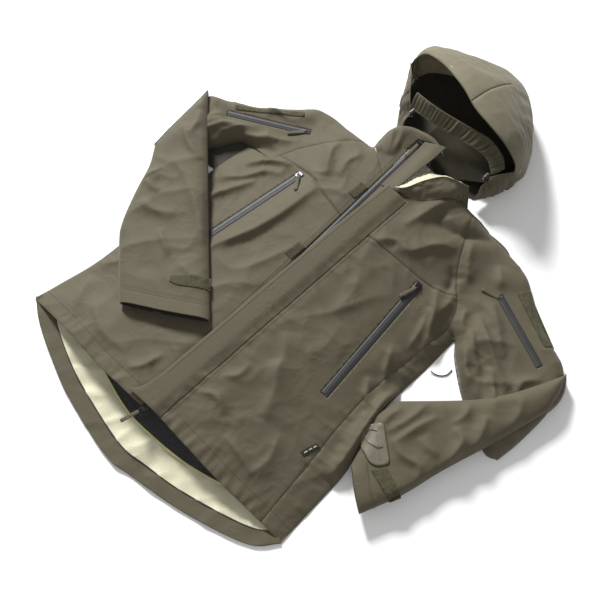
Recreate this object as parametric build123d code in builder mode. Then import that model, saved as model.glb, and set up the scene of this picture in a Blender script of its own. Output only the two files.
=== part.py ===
from build123d import *
from math import cos, radians, sin, sqrt
import os

os.makedirs("parts", exist_ok=True)

# A hooded hardshell jacket laid on its back, front up, its sleeves folded at the elbows.
# +Y runs from the hem to the hood, +X to the wearer's left, +Z up from the floor.
# The origin is on the back panel's underside, on the jacket's centre line.

# Driving dimensions, in millimetres
HEM_Y = -313.0          # front hem
TAIL_Y = -411.0         # lowest point of the longer back hem
ARMPIT_Y = 150.0
YOKE_Y = 156.0          # seam across the chest
TOP_Y = 395.0           # the arched front is drawn to here, past the collar
HEM_HALF = 300.0        # half the width of the laid-out hem
CHEST_HALF = 255.0      # half the width at the armpits
ARMHOLE_X = 219.0       # where the torso's panels end and the sleeves begin
HEM_CROWN = 42.0        # height of the arched front over the floor, at the hem
CROWN_RISE = 0.03       # its rise for each millimetre towards the hood
SHELL = 2.2             # stands for the shell fabric with its seams and tapes
BACK_THICK = 2.0
LINING_THICK = 1.0
SIDE_PANEL = 28.0       # width of the side panels
TALL = 260.0            # taller than anything in the assembly

# Zips
TAPE_THICK = 1.0
COIL_WIDE = 2.4
COIL_HIGH = 2.4
COIL_GAP = 0.8          # from the zip's centre line to each half's coil
MAIN_TAPE = 6.5         # half the width of the main zip with both tapes
PLACKET = 7.0           # from the main zip's centre line to the front panels
POCKET_TAPE = 7.4
SLEEVE_TAPE = 6.4
WINDOW_MARGIN = 0.5     # around a zip in its slit
ZIP_END = 9.0           # tape past the last stretch that the slider covers
SLIT_DEEP = 8.0

# Sliders and their pull tabs
SLIDER_LONG = 12.0
SLIDER_WIDE = 10.0
SLIDER_HIGH = 5.6
CHANNEL_AIR = 0.4       # between a slider and its coil or tape
SLIDER_ROUND = 2.0
DIVIDER_LONG = 5.0
DIVIDER_AIR = 0.3
EAR_LONG = 4.0          # the pair of ears that hold the pin
EAR_THICK = 1.0
EAR_HIGH = 2.4
EAR_Y = 2.2
PIN_R = 0.65
PIN_LONG = 6.0
PIN_Z = SLIDER_HIGH / 2 + 1.3
PIN_AIR = 0.1
LINK_LONG = 7.4         # the narrow link from the pin to the pull tab
LINK_WIDE = 2.6
LINK_THICK = 1.1
LINK_START = -0.1
PULL_LONG = 34.0
PULL_WIDE = 5.0
PULL_THICK = 2.0
PULL_TURN_X = 6.4       # the tab swings sideways about this point of its link
PULL_LAP = 2.0

# Outer storm flap
FLAP_LEFT = -23.0
FLAP_ROOT = 25.0
FLAP_TOP_Y = 250.0
FLAP_LIFT = 6.4         # clear of the sliders that pass beneath it
FLAP_THICK = 1.6

# Sleeves: flattened tubes, each forearm lying on its upper arm
SLEEVE_WALL = 2.5
UPPER_HIGH = 16.0
FOREARM_HIGH = 22.0
FOLD_Z = 17.0           # height of the elbow folds
RIGHT_SLOPE = 0.0975    # the right forearm climbs onto the chest

# Hood: a quarter sphere on a flat back, its rim standing up
HOOD_X = -30.0
HOOD_Y = 446.0
HOOD_R = 149.0
HOOD_WALL = 2.5
HOOD_FLOOR = 2.5
HOOD_PANEL = 41.0       # half the width of the centre panel
HOOD_FOOT_Y = 356.0
PEAK_LONG = 22.0
PEAK_LOW_Z = 62.0       # the peak stops this far above the floor
LOCK_R = 6.0
LOCK_LONG = 12.0
BUTTON_R = 3.6
BUTTON_PROUD = 4.0


def half_width(y):
    """Half the width of the torso at a station along it."""
    return HEM_HALF - (HEM_HALF - CHEST_HALF) * (y - HEM_Y) / (ARMPIT_Y - HEM_Y)


def crown(y):
    """Height of the arched front over the floor, on the centre line."""
    return HEM_CROWN + CROWN_RISE * (y - HEM_Y)


def arch_circle(y):
    """Centre height and radius of the arc that the front follows across the torso."""
    rise = crown(y) - BACK_THICK
    radius = (half_width(y) ** 2 + rise**2) / (2 * rise)
    return crown(y) - radius, radius


def surface_z(x, y):
    """Height of the front's outer surface over the floor."""
    centre, radius = arch_circle(y)
    return centre + sqrt(radius**2 - x**2)


def save(shape, name):
    """Label a finished piece and write it to its own file."""
    shape.label = name
    export_step(shape, f"parts/{name}.step")


def outline(points, height=0.0):
    """A closed outline of straight edges, level with the floor."""
    with BuildSketch(Plane.XY.offset(height)) as shape:
        with BuildLine():
            Polyline(*points, close=True)
        make_face()
    return shape.sketch


def arch_section(y, drop, thick):
    """Cross-section of the arched front, its top a given drop below the outer surface."""
    centre, radius = arch_circle(y)
    top = radius - drop
    low = top - thick
    top_end = sqrt(top**2 - (BACK_THICK - centre) ** 2)
    low_end = sqrt(low**2 - (BACK_THICK - centre) ** 2)
    with BuildSketch(Plane.XZ.offset(-y)) as section:
        with BuildLine():
            ThreePointArc((-top_end, BACK_THICK), (0, centre + top), (top_end, BACK_THICK))
            ThreePointArc((-low_end, BACK_THICK), (0, centre + low), (low_end, BACK_THICK))
            Line((-top_end, BACK_THICK), (-low_end, BACK_THICK))
            Line((top_end, BACK_THICK), (low_end, BACK_THICK))
        make_face()
    return section.sketch


def under_section(y, drop):
    """Cross-section of the space under the arched front, from a given drop below its surface."""
    centre, radius = arch_circle(y)
    top = radius - drop
    end = sqrt(top**2 - (BACK_THICK - centre) ** 2)
    with BuildSketch(Plane.XZ.offset(-y)) as section:
        with BuildLine():
            ThreePointArc((-end, BACK_THICK), (0, centre + top), (end, BACK_THICK))
            Line((-end, BACK_THICK), (end, BACK_THICK))
        make_face()
    return section.sketch


def arched_sheet(drop, thick, *plans):
    """One solid for each plan outline, cut from an arched sheet that follows the front."""
    sheet = [arch_section(HEM_Y, drop, thick), arch_section(TOP_Y, drop, thick)]
    with BuildPart() as piece:
        for points in plans:
            extrude(outline(points), amount=TALL)
        loft(sheet, ruled=True, mode=Mode.INTERSECT)
    return piece.part


def mirrored(points):
    return [(-x, y) for x, y in points]


def zip_frame(start, end, outward):
    """A zip's frame and length: x runs from its closed end, z points out of the cloth."""
    start = Vector(*start)
    end = Vector(*end)
    along = (end - start).normalized()
    across = outward.cross(along).normalized()
    return Plane(origin=start, x_dir=along, z_dir=along.cross(across)), (end - start).length


def on_front(x, y, drop):
    """A point on the front, a little below its outer surface."""
    return (x, y, surface_z(x, y) - drop)


def out_of_front(x, y):
    """The direction that the front's surface faces at a point."""
    centre, _ = arch_circle(y)
    return Vector(x, 0, surface_z(x, y) - centre).normalized()


def zip_slit(place, long, tape_half):
    """The block that is cut from a panel to let a zip in."""
    with BuildPart(place) as block:
        with Locations((long / 2, 0, 0)):
            Box(long + 2 * ZIP_END, 2 * (tape_half + WINDOW_MARGIN), 2 * SLIT_DEEP)
    return block.part


def zip_tapes(place, long, tape_half, spare=ZIP_END - WINDOW_MARGIN):
    """Both halves of a closed zip: a tape with its coil along the inner edge."""
    full = long + 2 * spare
    with BuildPart(place) as halves:
        for side in (1, -1):
            with Locations((long / 2, side * (COIL_GAP + tape_half) / 2, 0)):
                Box(full, tape_half - COIL_GAP, TAPE_THICK)
            with Locations((long / 2, side * (COIL_GAP + COIL_WIDE / 2), 0)):
                Box(full, COIL_WIDE, COIL_HIGH)
    return halves.part


def zip_slider(place, along):
    """A slider on its zip: two plates, a divider between the coils, and ears for the pin."""
    spot = Plane(origin=place.origin + place.x_dir * along, x_dir=place.x_dir, z_dir=place.z_dir)
    channel = 2 * (COIL_GAP + COIL_WIDE + CHANNEL_AIR)
    divider = 2 * COIL_GAP - 2 * DIVIDER_AIR
    ears = [(0, side * EAR_Y, (SLIDER_HIGH + EAR_HIGH) / 2) for side in (1, -1)]
    with BuildPart(spot) as body:
        Box(SLIDER_LONG, SLIDER_WIDE, SLIDER_HIGH)
        fillet(body.edges().filter_by(Axis(spot.origin, spot.z_dir)), SLIDER_ROUND)
        Box(SLIDER_LONG + 2, channel, COIL_HIGH + 2 * CHANNEL_AIR, mode=Mode.SUBTRACT)
        Box(SLIDER_LONG + 2, SLIDER_WIDE + 2, TAPE_THICK + 2 * CHANNEL_AIR, mode=Mode.SUBTRACT)
        Box(DIVIDER_LONG, divider, SLIDER_HIGH)
        with Locations(*ears):
            Box(EAR_LONG, EAR_THICK, EAR_HIGH)
        with Locations(Location((0, 0, PIN_Z), (90, 0, 0))):
            Cylinder(PIN_R + PIN_AIR, SLIDER_WIDE, mode=Mode.SUBTRACT)
    return body.part


def pull_tab(place, along, swing):
    """A pull tab on its pin, lying flat and swung sideways by an angle in degrees."""
    spot = Plane(origin=place.origin + place.x_dir * along, x_dir=place.x_dir, z_dir=place.z_dir)
    with BuildPart(spot) as tab:
        with Locations(Location((0, 0, PIN_Z), (90, 0, 0))):
            Cylinder(PIN_R, PIN_LONG)
        with Locations((LINK_START + LINK_LONG / 2, 0, PIN_Z)):
            Box(LINK_LONG, LINK_WIDE, LINK_THICK)
        with Locations(Location((PULL_TURN_X, 0, PIN_Z + PIN_AIR), (0, 0, swing))):
            with Locations((PULL_LONG / 2 - PULL_LAP, 0, 0)):
                Box(PULL_LONG, PULL_WIDE, PULL_THICK)
    return tab.part


# ---------------------------------------------------------------- back of the torso


def hem_curve(inset, half):
    """The three points of the back hem's curve, moved in from its edge."""
    return ((-half, -322 + inset), (3, TAIL_Y + inset), (half, -300 + inset))


with BuildPart() as back_panel:
    with BuildSketch():
        with BuildLine():
            hem = ThreePointArc(*hem_curve(0, HEM_HALF))
            Polyline(
                hem @ 1,
                (CHEST_HALF, ARMPIT_Y),
                (ARMHOLE_X, ARMPIT_Y),
                (ARMHOLE_X, 328),
                (110, 342),
                (-104, 310),
                (-ARMHOLE_X, 288),
                (-ARMHOLE_X, ARMPIT_Y),
                (-CHEST_HALF, ARMPIT_Y),
                hem @ 0,
            )
        make_face()
    extrude(amount=BACK_THICK)
save(back_panel.part, "back_panel")

FACING_WIDE = 28.0
LINING_HALF = HEM_HALF - 16

with BuildPart() as hem_facing:
    with BuildSketch(Plane.XY.offset(BACK_THICK)):
        with BuildLine():
            outer = ThreePointArc(*hem_curve(1, LINING_HALF))
            inner = ThreePointArc(*hem_curve(FACING_WIDE, LINING_HALF))
            Line(outer @ 0, inner @ 0)
            Line(outer @ 1, inner @ 1)
        make_face()
    extrude(amount=LINING_THICK)
save(hem_facing.part, "hem_facing")

with BuildPart() as back_lining:
    with BuildSketch(Plane.XY.offset(BACK_THICK)):
        with BuildLine():
            edge = ThreePointArc(*hem_curve(FACING_WIDE + 0.4, LINING_HALF))
            Polyline(
                edge @ 1,
                (214, ARMPIT_Y),
                (200, 290),
                (95, 330),
                (-95, 300),
                (-200, 275),
                (-214, ARMPIT_Y),
                edge @ 0,
            )
        make_face()
    extrude(amount=LINING_THICK)
save(back_lining.part, "back_lining")

# The lower edge of a mesh liner is seen on the lining, behind the front hem
with BuildPart() as mesh_liner:
    with BuildSketch(Plane.XY.offset(BACK_THICK + LINING_THICK)):
        with BuildLine():
            edge = ThreePointArc((-200, -296), (10, -336), (215, -286))
            Polyline(edge @ 1, (200, 120), (-200, 120), edge @ 0)
        make_face()
    extrude(amount=LINING_THICK)
save(mesh_liner.part, "mesh_liner")

# ---------------------------------------------------------------- zips of the torso

zip_bottom = on_front(-2, HEM_Y - 18, 1.0)
zip_top = on_front(-40, 361, 1.0)
main_zip, MAIN_LONG = zip_frame(zip_top, zip_bottom, Vector(0, 0, 1))


def zip_x(y):
    """Centre line of the main zip in plan."""
    share = (y - zip_bottom[1]) / (zip_top[1] - zip_bottom[1])
    return zip_bottom[0] + share * (zip_top[0] - zip_bottom[0])


POCKET_TOP = (148.0, 161.0)
POCKET_LOW = (177.0, -81.0)
POCKET_DROP = 0.6       # the pocket zips lie this far below the shell's surface
POCKET_MIDDLE = (162.0, 40.0)
left_pocket, POCKET_LONG = zip_frame(
    on_front(*POCKET_TOP, POCKET_DROP),
    on_front(*POCKET_LOW, POCKET_DROP),
    out_of_front(*POCKET_MIDDLE),
)
right_pocket, _ = zip_frame(
    on_front(-POCKET_TOP[0], POCKET_TOP[1], POCKET_DROP),
    on_front(-POCKET_LOW[0], POCKET_LOW[1], POCKET_DROP),
    out_of_front(-POCKET_MIDDLE[0], POCKET_MIDDLE[1]),
)
left_pocket_slit = zip_slit(left_pocket, POCKET_LONG, POCKET_TAPE)
right_pocket_slit = zip_slit(right_pocket, POCKET_LONG, POCKET_TAPE)

SLEEVE_ZIP_Z = UPPER_HIGH - 0.6
left_arm_zip, LEFT_ARM_LONG = zip_frame((258, 256, SLEEVE_ZIP_Z), (380, 214, SLEEVE_ZIP_Z), Vector(0, 0, 1))
right_arm_zip, RIGHT_ARM_LONG = zip_frame(
    (-211, 241, SLEEVE_ZIP_Z + 3.0), (-338, 164, SLEEVE_ZIP_Z + 0.6), Vector(0, 0, 1)
)
left_arm_slit = zip_slit(left_arm_zip, LEFT_ARM_LONG, SLEEVE_TAPE)
right_arm_slit = zip_slit(right_arm_zip, RIGHT_ARM_LONG, SLEEVE_TAPE)

# The zips' tapes. The main zip has no spare tape past its ends.
for name, place, long, tape_half, spare in (
    ("main_zip_tapes", main_zip, MAIN_LONG, MAIN_TAPE, 0.0),
    ("pocket_zip_left", left_pocket, POCKET_LONG, POCKET_TAPE, ZIP_END - WINDOW_MARGIN),
    ("pocket_zip_right", right_pocket, POCKET_LONG, POCKET_TAPE, ZIP_END - WINDOW_MARGIN),
    ("sleeve_zip_left", left_arm_zip, LEFT_ARM_LONG, SLEEVE_TAPE, ZIP_END - WINDOW_MARGIN),
    ("sleeve_zip_right", right_arm_zip, RIGHT_ARM_LONG, SLEEVE_TAPE, ZIP_END - WINDOW_MARGIN),
):
    save(zip_tapes(place, long, tape_half, spare), name)

# Each slider stands at its zip's closed end, with its pull tab lying towards the open end.
# The two sliders of the main zip stand at its two ends, and the lower one's tab hangs down.
SLIDER_INSET = 8.0
left_arm_back = Plane(origin=left_arm_zip.origin, x_dir=left_arm_zip.x_dir * -1, z_dir=left_arm_zip.z_dir)
for name, place, along, swing in (
    ("main_top", main_zip, SLIDER_INSET, 0),
    ("main_bottom", main_zip, MAIN_LONG - SLIDER_INSET, -16),
    ("pocket_left", left_pocket, 0.0, -20),
    ("pocket_right", right_pocket, 0.0, 45),
    ("sleeve_left", left_arm_back, 0.0, 37),
    ("sleeve_right", right_arm_zip, 0.0, 20),
):
    slider = zip_slider(place, along)
    save(slider, f"slider_{name}")
    save(pull_tab(place, along, swing), f"pull_{name}")

# ---------------------------------------------------------------- front of the torso

HEM_IN = HEM_HALF - SIDE_PANEL
CHEST_IN = CHEST_HALF - SIDE_PANEL
RAGLAN_LOW = (ARMHOLE_X, 172)
RAGLAN_TOP_LEFT = (113, 340)
RAGLAN_TOP_RIGHT = (-107, 306)
YOKE_TURN = (150, YOKE_Y)
YOKE_END = (205, 194)
COLLAR_LOW_Y = 250.0
COLLAR_RIGHT_Y = 262.0
LEAF_TURN = (58, 304)
LEAF_TOP = (98, 341)


def front_outline(side):
    """Plan of a front panel, from the zip to the side panel and up to the yoke seam."""
    return [
        (zip_x(HEM_Y) + side * PLACKET, HEM_Y),
        (side * HEM_IN, HEM_Y),
        (side * CHEST_IN, ARMPIT_Y),
        (side * ARMHOLE_X, ARMPIT_Y),
        (side * RAGLAN_LOW[0], RAGLAN_LOW[1]),
        (side * YOKE_END[0], YOKE_END[1]),
        (side * YOKE_TURN[0], YOKE_Y),
        (zip_x(YOKE_Y) + side * PLACKET, YOKE_Y),
    ]


LEFT_YOKE = [
    (zip_x(YOKE_Y) + PLACKET, YOKE_Y),
    YOKE_TURN,
    YOKE_END,
    RAGLAN_TOP_LEFT,
    LEAF_TOP,
    LEAF_TURN,
    (14, COLLAR_LOW_Y),
    (zip_x(COLLAR_LOW_Y) + PLACKET, COLLAR_LOW_Y),
]
RIGHT_YOKE = [
    (zip_x(YOKE_Y) - PLACKET, YOKE_Y),
    (-YOKE_TURN[0], YOKE_Y),
    (-YOKE_END[0], YOKE_END[1]),
    RAGLAN_TOP_RIGHT,
    (zip_x(COLLAR_RIGHT_Y) - PLACKET, COLLAR_RIGHT_Y),
]
LEFT_SHOULDER = [RAGLAN_TOP_LEFT, YOKE_END, RAGLAN_LOW, (ARMHOLE_X, 326), (160, 336)]
RIGHT_SHOULDER = [RAGLAN_TOP_RIGHT, (-YOKE_END[0], YOKE_END[1]), (-ARMHOLE_X, 172), (-ARMHOLE_X, 287)]
SIDE = [
    (HEM_IN, HEM_Y),
    (HEM_HALF + 5, HEM_Y),
    (CHEST_HALF + 5, ARMPIT_Y),
    (CHEST_IN, ARMPIT_Y),
]
RIGHT_COLLAR = [
    (zip_x(COLLAR_RIGHT_Y) - PLACKET, COLLAR_RIGHT_Y),
    RAGLAN_TOP_RIGHT,
    (-100, 345),
    (-62, 376),
    (zip_x(372) - PLACKET, 372),
]
# The inner flap backs the zip at the neck and ends in a point over the chin
INNER_FLAP = [
    (zip_x(COLLAR_LOW_Y) + PLACKET, COLLAR_LOW_Y + 1),
    (-4, COLLAR_LOW_Y + 1),
    (2, 375),
    (zip_x(361) + PLACKET, 361),
]

for name, points, slit in (
    ("front_left", front_outline(1), left_pocket_slit),
    ("front_right", front_outline(-1), right_pocket_slit),
    ("yoke_left", LEFT_YOKE, left_pocket_slit),
    ("yoke_right", RIGHT_YOKE, right_pocket_slit),
    ("shoulder_left", LEFT_SHOULDER, None),
    ("shoulder_right", RIGHT_SHOULDER, right_arm_slit),
    ("side_panel_left", SIDE, None),
    ("side_panel_right", mirrored(SIDE), None),
    ("collar_right", RIGHT_COLLAR, None),
    ("inner_flap", INNER_FLAP, None),
):
    cloth = arched_sheet(0, SHELL, points)
    with BuildPart() as panel:
        add(cloth)
        if slit:
            add(slit, mode=Mode.SUBTRACT)
    save(panel.part, name)

# Seams close the torso's top between its front and its back
SEAM_LONG = 4.0
LEFT_SEAM = [(113, 340), (160, 336), (ARMHOLE_X, 326)]
RIGHT_SEAM = [(-107, 306), (-ARMHOLE_X, 287)]
with BuildPart() as shoulder_seams:
    for seam in (LEFT_SEAM, RIGHT_SEAM):
        extrude(outline(seam + [(x, y - SEAM_LONG) for x, y in reversed(seam)], 3.2), amount=TALL)
    inside = [under_section(HEM_Y, SHELL + 0.2), under_section(TOP_Y, SHELL + 0.2)]
    loft(inside, ruled=True, mode=Mode.INTERSECT)
save(shoulder_seams.part, "shoulder_seams")

# The left half of the collar is pulled open and stands on edge
with BuildPart() as collar_left:
    with BuildSketch(Plane.XY.offset(46)):
        with BuildLine():
            near = ThreePointArc((12, 262), (46, 309), (84, 345))
            far = ThreePointArc((9.5, 264), (43.5, 311), (81.5, 347))
            Line(near @ 0, far @ 0)
            Line(near @ 1, far @ 1)
        make_face()
    extrude(amount=28)
save(collar_left.part, "collar_left")

# Mesh pocket bags hang inside each front, behind the zips
BAG_DROP = SHELL + 2.8
BAG = [(95, -150), (215, -150), (212, 140), (110, 140)]
save(arched_sheet(BAG_DROP, 1.2, BAG), "pocket_bag_left")
save(arched_sheet(BAG_DROP, 1.2, mirrored(BAG)), "pocket_bag_right")

# Hook patches beside the main zip hold the storm flap down
PATCH_LONG = 33.0
PATCH_WIDE = 17.0
patches = []
for y in (50, 209, 345):
    edge = zip_x(y) - PLACKET - 1
    patches.append(
        [
            (edge, y - PATCH_LONG / 2),
            (edge, y + PATCH_LONG / 2),
            (edge - PATCH_WIDE, y + PATCH_LONG / 2),
            (edge - PATCH_WIDE, y - PATCH_LONG / 2),
        ]
    )
save(arched_sheet(-1.1, 1.05, *patches), "hook_patches")

LABEL = [(219, -173), (247, -168), (246, -157), (218, -162)]
save(arched_sheet(-0.9, 0.85, LABEL), "woven_label")

# The storm flap lies over the zip, clear of the sliders, and is sewn down along its root
flap_sheet = arched_sheet(
    -FLAP_LIFT - FLAP_THICK,
    FLAP_THICK,
    [(FLAP_LEFT, HEM_Y), (FLAP_ROOT, HEM_Y), (FLAP_ROOT, FLAP_TOP_Y), (FLAP_LEFT, FLAP_TOP_Y)],
)
flap_foot = arched_sheet(
    -FLAP_LIFT - 0.5,
    FLAP_LIFT + 0.1,
    [(FLAP_ROOT - 2, HEM_Y), (FLAP_ROOT, HEM_Y), (FLAP_ROOT, FLAP_TOP_Y), (FLAP_ROOT - 2, FLAP_TOP_Y)],
)
with BuildPart() as storm_flap:
    add(flap_sheet)
    add(flap_foot)
save(storm_flap.part, "storm_flap")

# ---------------------------------------------------------------- sleeves


def mouth(first, last):
    """A rectangle through a sleeve's open end, between the two corners of that end."""
    first = Vector(*first)
    last = Vector(*last)
    along = (last - first).normalized()
    out = Vector(along.Y, -along.X)
    first = first + along * SLEEVE_WALL * 1.5
    last = last - along * SLEEVE_WALL * 1.5
    corners = [first + out * 20, last + out * 20, last - out * 12, first - out * 12]
    return [(corner.X, corner.Y) for corner in corners]


def bore(points, *mouths):
    """The inside of a flattened sleeve in plan, run out through its open ends."""
    with BuildSketch() as hollow:
        with BuildLine():
            Polyline(*points, close=True)
        make_face()
        offset(amount=-SLEEVE_WALL)
        for opening in mouths:
            with BuildLine():
                Polyline(*mouth(*opening), close=True)
            make_face()
    return hollow.sketch


def sleeve(points, mouths, place, high):
    """A flattened tube with a plan outline, between a plane and one a given height above it."""
    with BuildSketch(place) as outside:
        Rectangle(3000, 3000)
    with BuildSketch(place.offset(SLEEVE_WALL)) as inside:
        Rectangle(3000, 3000)
    with BuildPart() as hollow:
        extrude(bore(points, *mouths), amount=TALL)
        extrude(inside.sketch, amount=high - 2 * SLEEVE_WALL, mode=Mode.INTERSECT)
    with BuildPart() as tube:
        extrude(outline(points), amount=TALL)
        extrude(outside.sketch, amount=high, mode=Mode.INTERSECT)
        add(hollow.part, mode=Mode.SUBTRACT)
    return tube.part


# The elbow folds, from the outer corner of each elbow
RIGHT_FOLD = ((-400, 165), (-378, 17))
LEFT_FOLD = ((425, 233), (446, 165))
RIGHT_UPPER = [
    (-222, ARMPIT_Y + 1.5),
    (-222, 298),
    (-228, 300),
    (-307, 231),
    RIGHT_FOLD[0],
    RIGHT_FOLD[1],
    (-330, 60),
    (-300, 118),
    (-257, ARMPIT_Y + 1.5),
]
LEFT_UPPER = [
    (222, ARMPIT_Y + 1.5),
    (257, ARMPIT_Y + 1.5),
    (276, 124),
    (334, 83),
    (416, 44),
    (444, 50),
    (447, 97),
    LEFT_FOLD[1],
    LEFT_FOLD[0],
    (402, 251),
    (342, 272),
    (254, 327),
    (222, 331),
]
RIGHT_FOREARM = [
    RIGHT_FOLD[0],
    (-38, -143),
    (-107, -192),
    (-172, -230),
    (-262, -160),
    (-293, -128),
    (-326, -70),
    RIGHT_FOLD[1],
]
LEFT_FOREARM = [
    LEFT_FOLD[0],
    LEFT_FOLD[1],
    (397, -35),
    (381, -109),
    (356, -180),
    (291, -134),
    (264, -60),
    (266, -5),
    (341, 78),
    (372, 121),
    (396, 165),
]

# The right forearm's underside climbs from its fold at right angles to it
fold_start = Vector(*RIGHT_FOLD[0], FOLD_Z + 1)
fold_line = (Vector(*RIGHT_FOLD[1], FOLD_Z + 1) - fold_start).normalized()
inward = Vector(-fold_line.Y, fold_line.X)
climb = Vector(inward.X, inward.Y, RIGHT_SLOPE).normalized()
right_bed = Plane(origin=fold_start, x_dir=climb, z_dir=climb.cross(fold_line * -1))
left_bed = Plane.XY.offset(FOLD_Z)

right_upper_tube = sleeve(RIGHT_UPPER, [(RIGHT_UPPER[1], RIGHT_UPPER[0])], Plane.XY, UPPER_HIGH)
left_upper_tube = sleeve(LEFT_UPPER, [(LEFT_UPPER[0], LEFT_UPPER[-1])], Plane.XY, UPPER_HIGH)
for name, tube, slit in (
    ("sleeve_right_upper", right_upper_tube, right_arm_slit),
    ("sleeve_left_upper", left_upper_tube, left_arm_slit),
):
    with BuildPart() as upper_arm:
        add(tube)
        add(slit, mode=Mode.SUBTRACT)
    save(upper_arm.part, name)

save(sleeve(RIGHT_FOREARM, [((-172, -230), (-38, -143))], right_bed, FOREARM_HIGH), "sleeve_right_forearm")
save(sleeve(LEFT_FOREARM, [((291, -134), (356, -180))], left_bed, FOREARM_HIGH), "sleeve_left_forearm")


def plate(points, place, lift, thick):
    """A thin plate with a plan outline that lies a given distance above a plane."""
    with BuildSketch(place.offset(lift)) as level:
        Rectangle(3000, 3000)
    with BuildPart() as flat:
        extrude(outline(points), amount=TALL)
        extrude(level.sketch, amount=thick, mode=Mode.INTERSECT)
    return flat.part


ON_TOP = 0.05
LOOP_THICK = 1.6
TAB_THICK = 2.4
RIGHT_ARM_LOOP = [(-347, 184), (-337, 176), (-236, 258), (-246, 266)]
LEFT_ARM_LOOP = [(270, 283), (281, 309), (380, 262), (368, 243)]
RIGHT_CUFF_LOOP = [(-146, -137), (-97, -91), (-78, -108), (-100, -126), (-124, -143), (-138, -148)]
LEFT_CUFF_LOOP = [(318, -120), (335, -99), (384, -114), (375, -134)]
CUFF_TAB = [(262, -78), (266, -62), (280, -51), (334, -91), (311, -114), (281, -105)]
save(plate(RIGHT_ARM_LOOP, Plane.XY, UPPER_HIGH + ON_TOP, LOOP_THICK), "sleeve_patch_right")
save(plate(LEFT_ARM_LOOP, Plane.XY, UPPER_HIGH + ON_TOP, LOOP_THICK), "sleeve_patch_left")
save(plate(RIGHT_CUFF_LOOP, right_bed, FOREARM_HIGH + ON_TOP, LOOP_THICK), "cuff_strip_right")
save(plate(LEFT_CUFF_LOOP, left_bed, FOREARM_HIGH + ON_TOP, LOOP_THICK), "cuff_strip_left")
save(plate(CUFF_TAB, left_bed, FOREARM_HIGH + 0.4, TAB_THICK), "cuff_tab_left")

# ---------------------------------------------------------------- hood

RIM_PLANE = Plane.XZ.offset(-HOOD_Y)
BACK_R = HOOD_R - 4     # the flat back stays inside the dome
LEFT_FOOT_X = 94.0      # where the hood meets the neck on either side
RIGHT_FOOT_X = -150.0
PANEL_SEAM = 0.1

with BuildPart() as hood_back:
    with BuildSketch():
        with BuildLine():
            back = ThreePointArc(
                (HOOD_X - BACK_R, HOOD_Y),
                (HOOD_X, HOOD_Y + BACK_R),
                (HOOD_X + BACK_R, HOOD_Y),
            )
            Polyline(back @ 1, (LEFT_FOOT_X, HOOD_FOOT_Y), (RIGHT_FOOT_X, HOOD_FOOT_Y), back @ 0)
        make_face()
    extrude(amount=HOOD_FLOOR)
save(hood_back.part, "hood_back")

with BuildPart() as dome:
    with Locations((HOOD_X, HOOD_Y, 0)):
        Sphere(HOOD_R)
        Sphere(HOOD_R - HOOD_WALL, mode=Mode.SUBTRACT)
    with Locations((HOOD_X, HOOD_Y + TALL / 2, HOOD_FLOOR + TALL / 2)):
        Box(2 * TALL, TALL, TALL, mode=Mode.INTERSECT)

for name, low, high in (
    ("hood_right_panel", -HOOD_R - 1, -HOOD_PANEL - PANEL_SEAM),
    ("hood_centre_panel", -HOOD_PANEL, HOOD_PANEL),
    ("hood_left_panel", HOOD_PANEL + PANEL_SEAM, HOOD_R + 1),
):
    with BuildPart() as panel:
        add(dome.part)
        with Locations((HOOD_X + (low + high) / 2, HOOD_Y, 0)):
            Box(high - low, 2 * TALL, 2 * TALL, mode=Mode.INTERSECT)
    save(panel.part, name)

with BuildPart() as hood_peak:
    with BuildSketch(RIM_PLANE):
        with Locations((HOOD_X, 0)):
            Circle(HOOD_R)
            Circle(HOOD_R - HOOD_WALL, mode=Mode.SUBTRACT)
        with Locations((HOOD_X, PEAK_LOW_Z + TALL / 2)):
            Rectangle(2 * TALL, TALL, mode=Mode.INTERSECT)
    extrude(amount=PEAK_LONG)
save(hood_peak.part, "hood_peak")

# The cheeks fall from the rim to the neck on either side of the face opening
CHEEK_WALL = 2.5
CHEEK_LOW = 20.0        # height of the cheeks at the neck
CHEEK_FOOT_Y = HOOD_FOOT_Y + 8
CHEEK_RIM_Y = HOOD_Y - 0.2
CHEEK_RIM_R = HOOD_R - 3
with BuildPart() as hood_cheeks:
    for foot, rim, inner in (
        (LEFT_FOOT_X, HOOD_X + CHEEK_RIM_R, -CHEEK_WALL),
        (RIGHT_FOOT_X, HOOD_X - CHEEK_RIM_R, CHEEK_WALL),
    ):
        side = [
            (foot, CHEEK_FOOT_Y),
            (rim, CHEEK_RIM_Y),
            (rim + inner, CHEEK_RIM_Y),
            (foot + inner, CHEEK_FOOT_Y),
        ]
        extrude(outline(side, HOOD_FLOOR), amount=TALL)
    with BuildSketch(Plane.YZ.offset(-TALL)):
        with BuildLine():
            Polyline(
                (HOOD_FOOT_Y, CHEEK_LOW),
                (HOOD_Y, PEAK_LOW_Z - 1),
                (HOOD_Y, 2 * TALL),
                (HOOD_FOOT_Y, 2 * TALL),
                close=True,
            )
        make_face()
    extrude(amount=2 * TALL, mode=Mode.SUBTRACT)
save(hood_cheeks.part, "hood_cheeks")

# A gathered elastic band crosses the back of the neck, above a brushed patch
BAND_LOW = (402.0, 52.0)
BAND_HIGH = (430.0, 80.0)
BAND_START_X = -110.0
BAND_LONG = 196.0
PATCH_THICK = 1.2
with BuildPart() as hood_band:
    with BuildSketch(Plane.YZ.offset(BAND_START_X)):
        with BuildLine():
            Polyline(
                BAND_LOW,
                BAND_HIGH,
                (BAND_HIGH[0] + 2, BAND_HIGH[1] - 2),
                (BAND_LOW[0] + 2, BAND_LOW[1] - 2),
                close=True,
            )
        make_face()
    extrude(amount=BAND_LONG)
save(hood_band.part, "hood_band")

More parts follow.
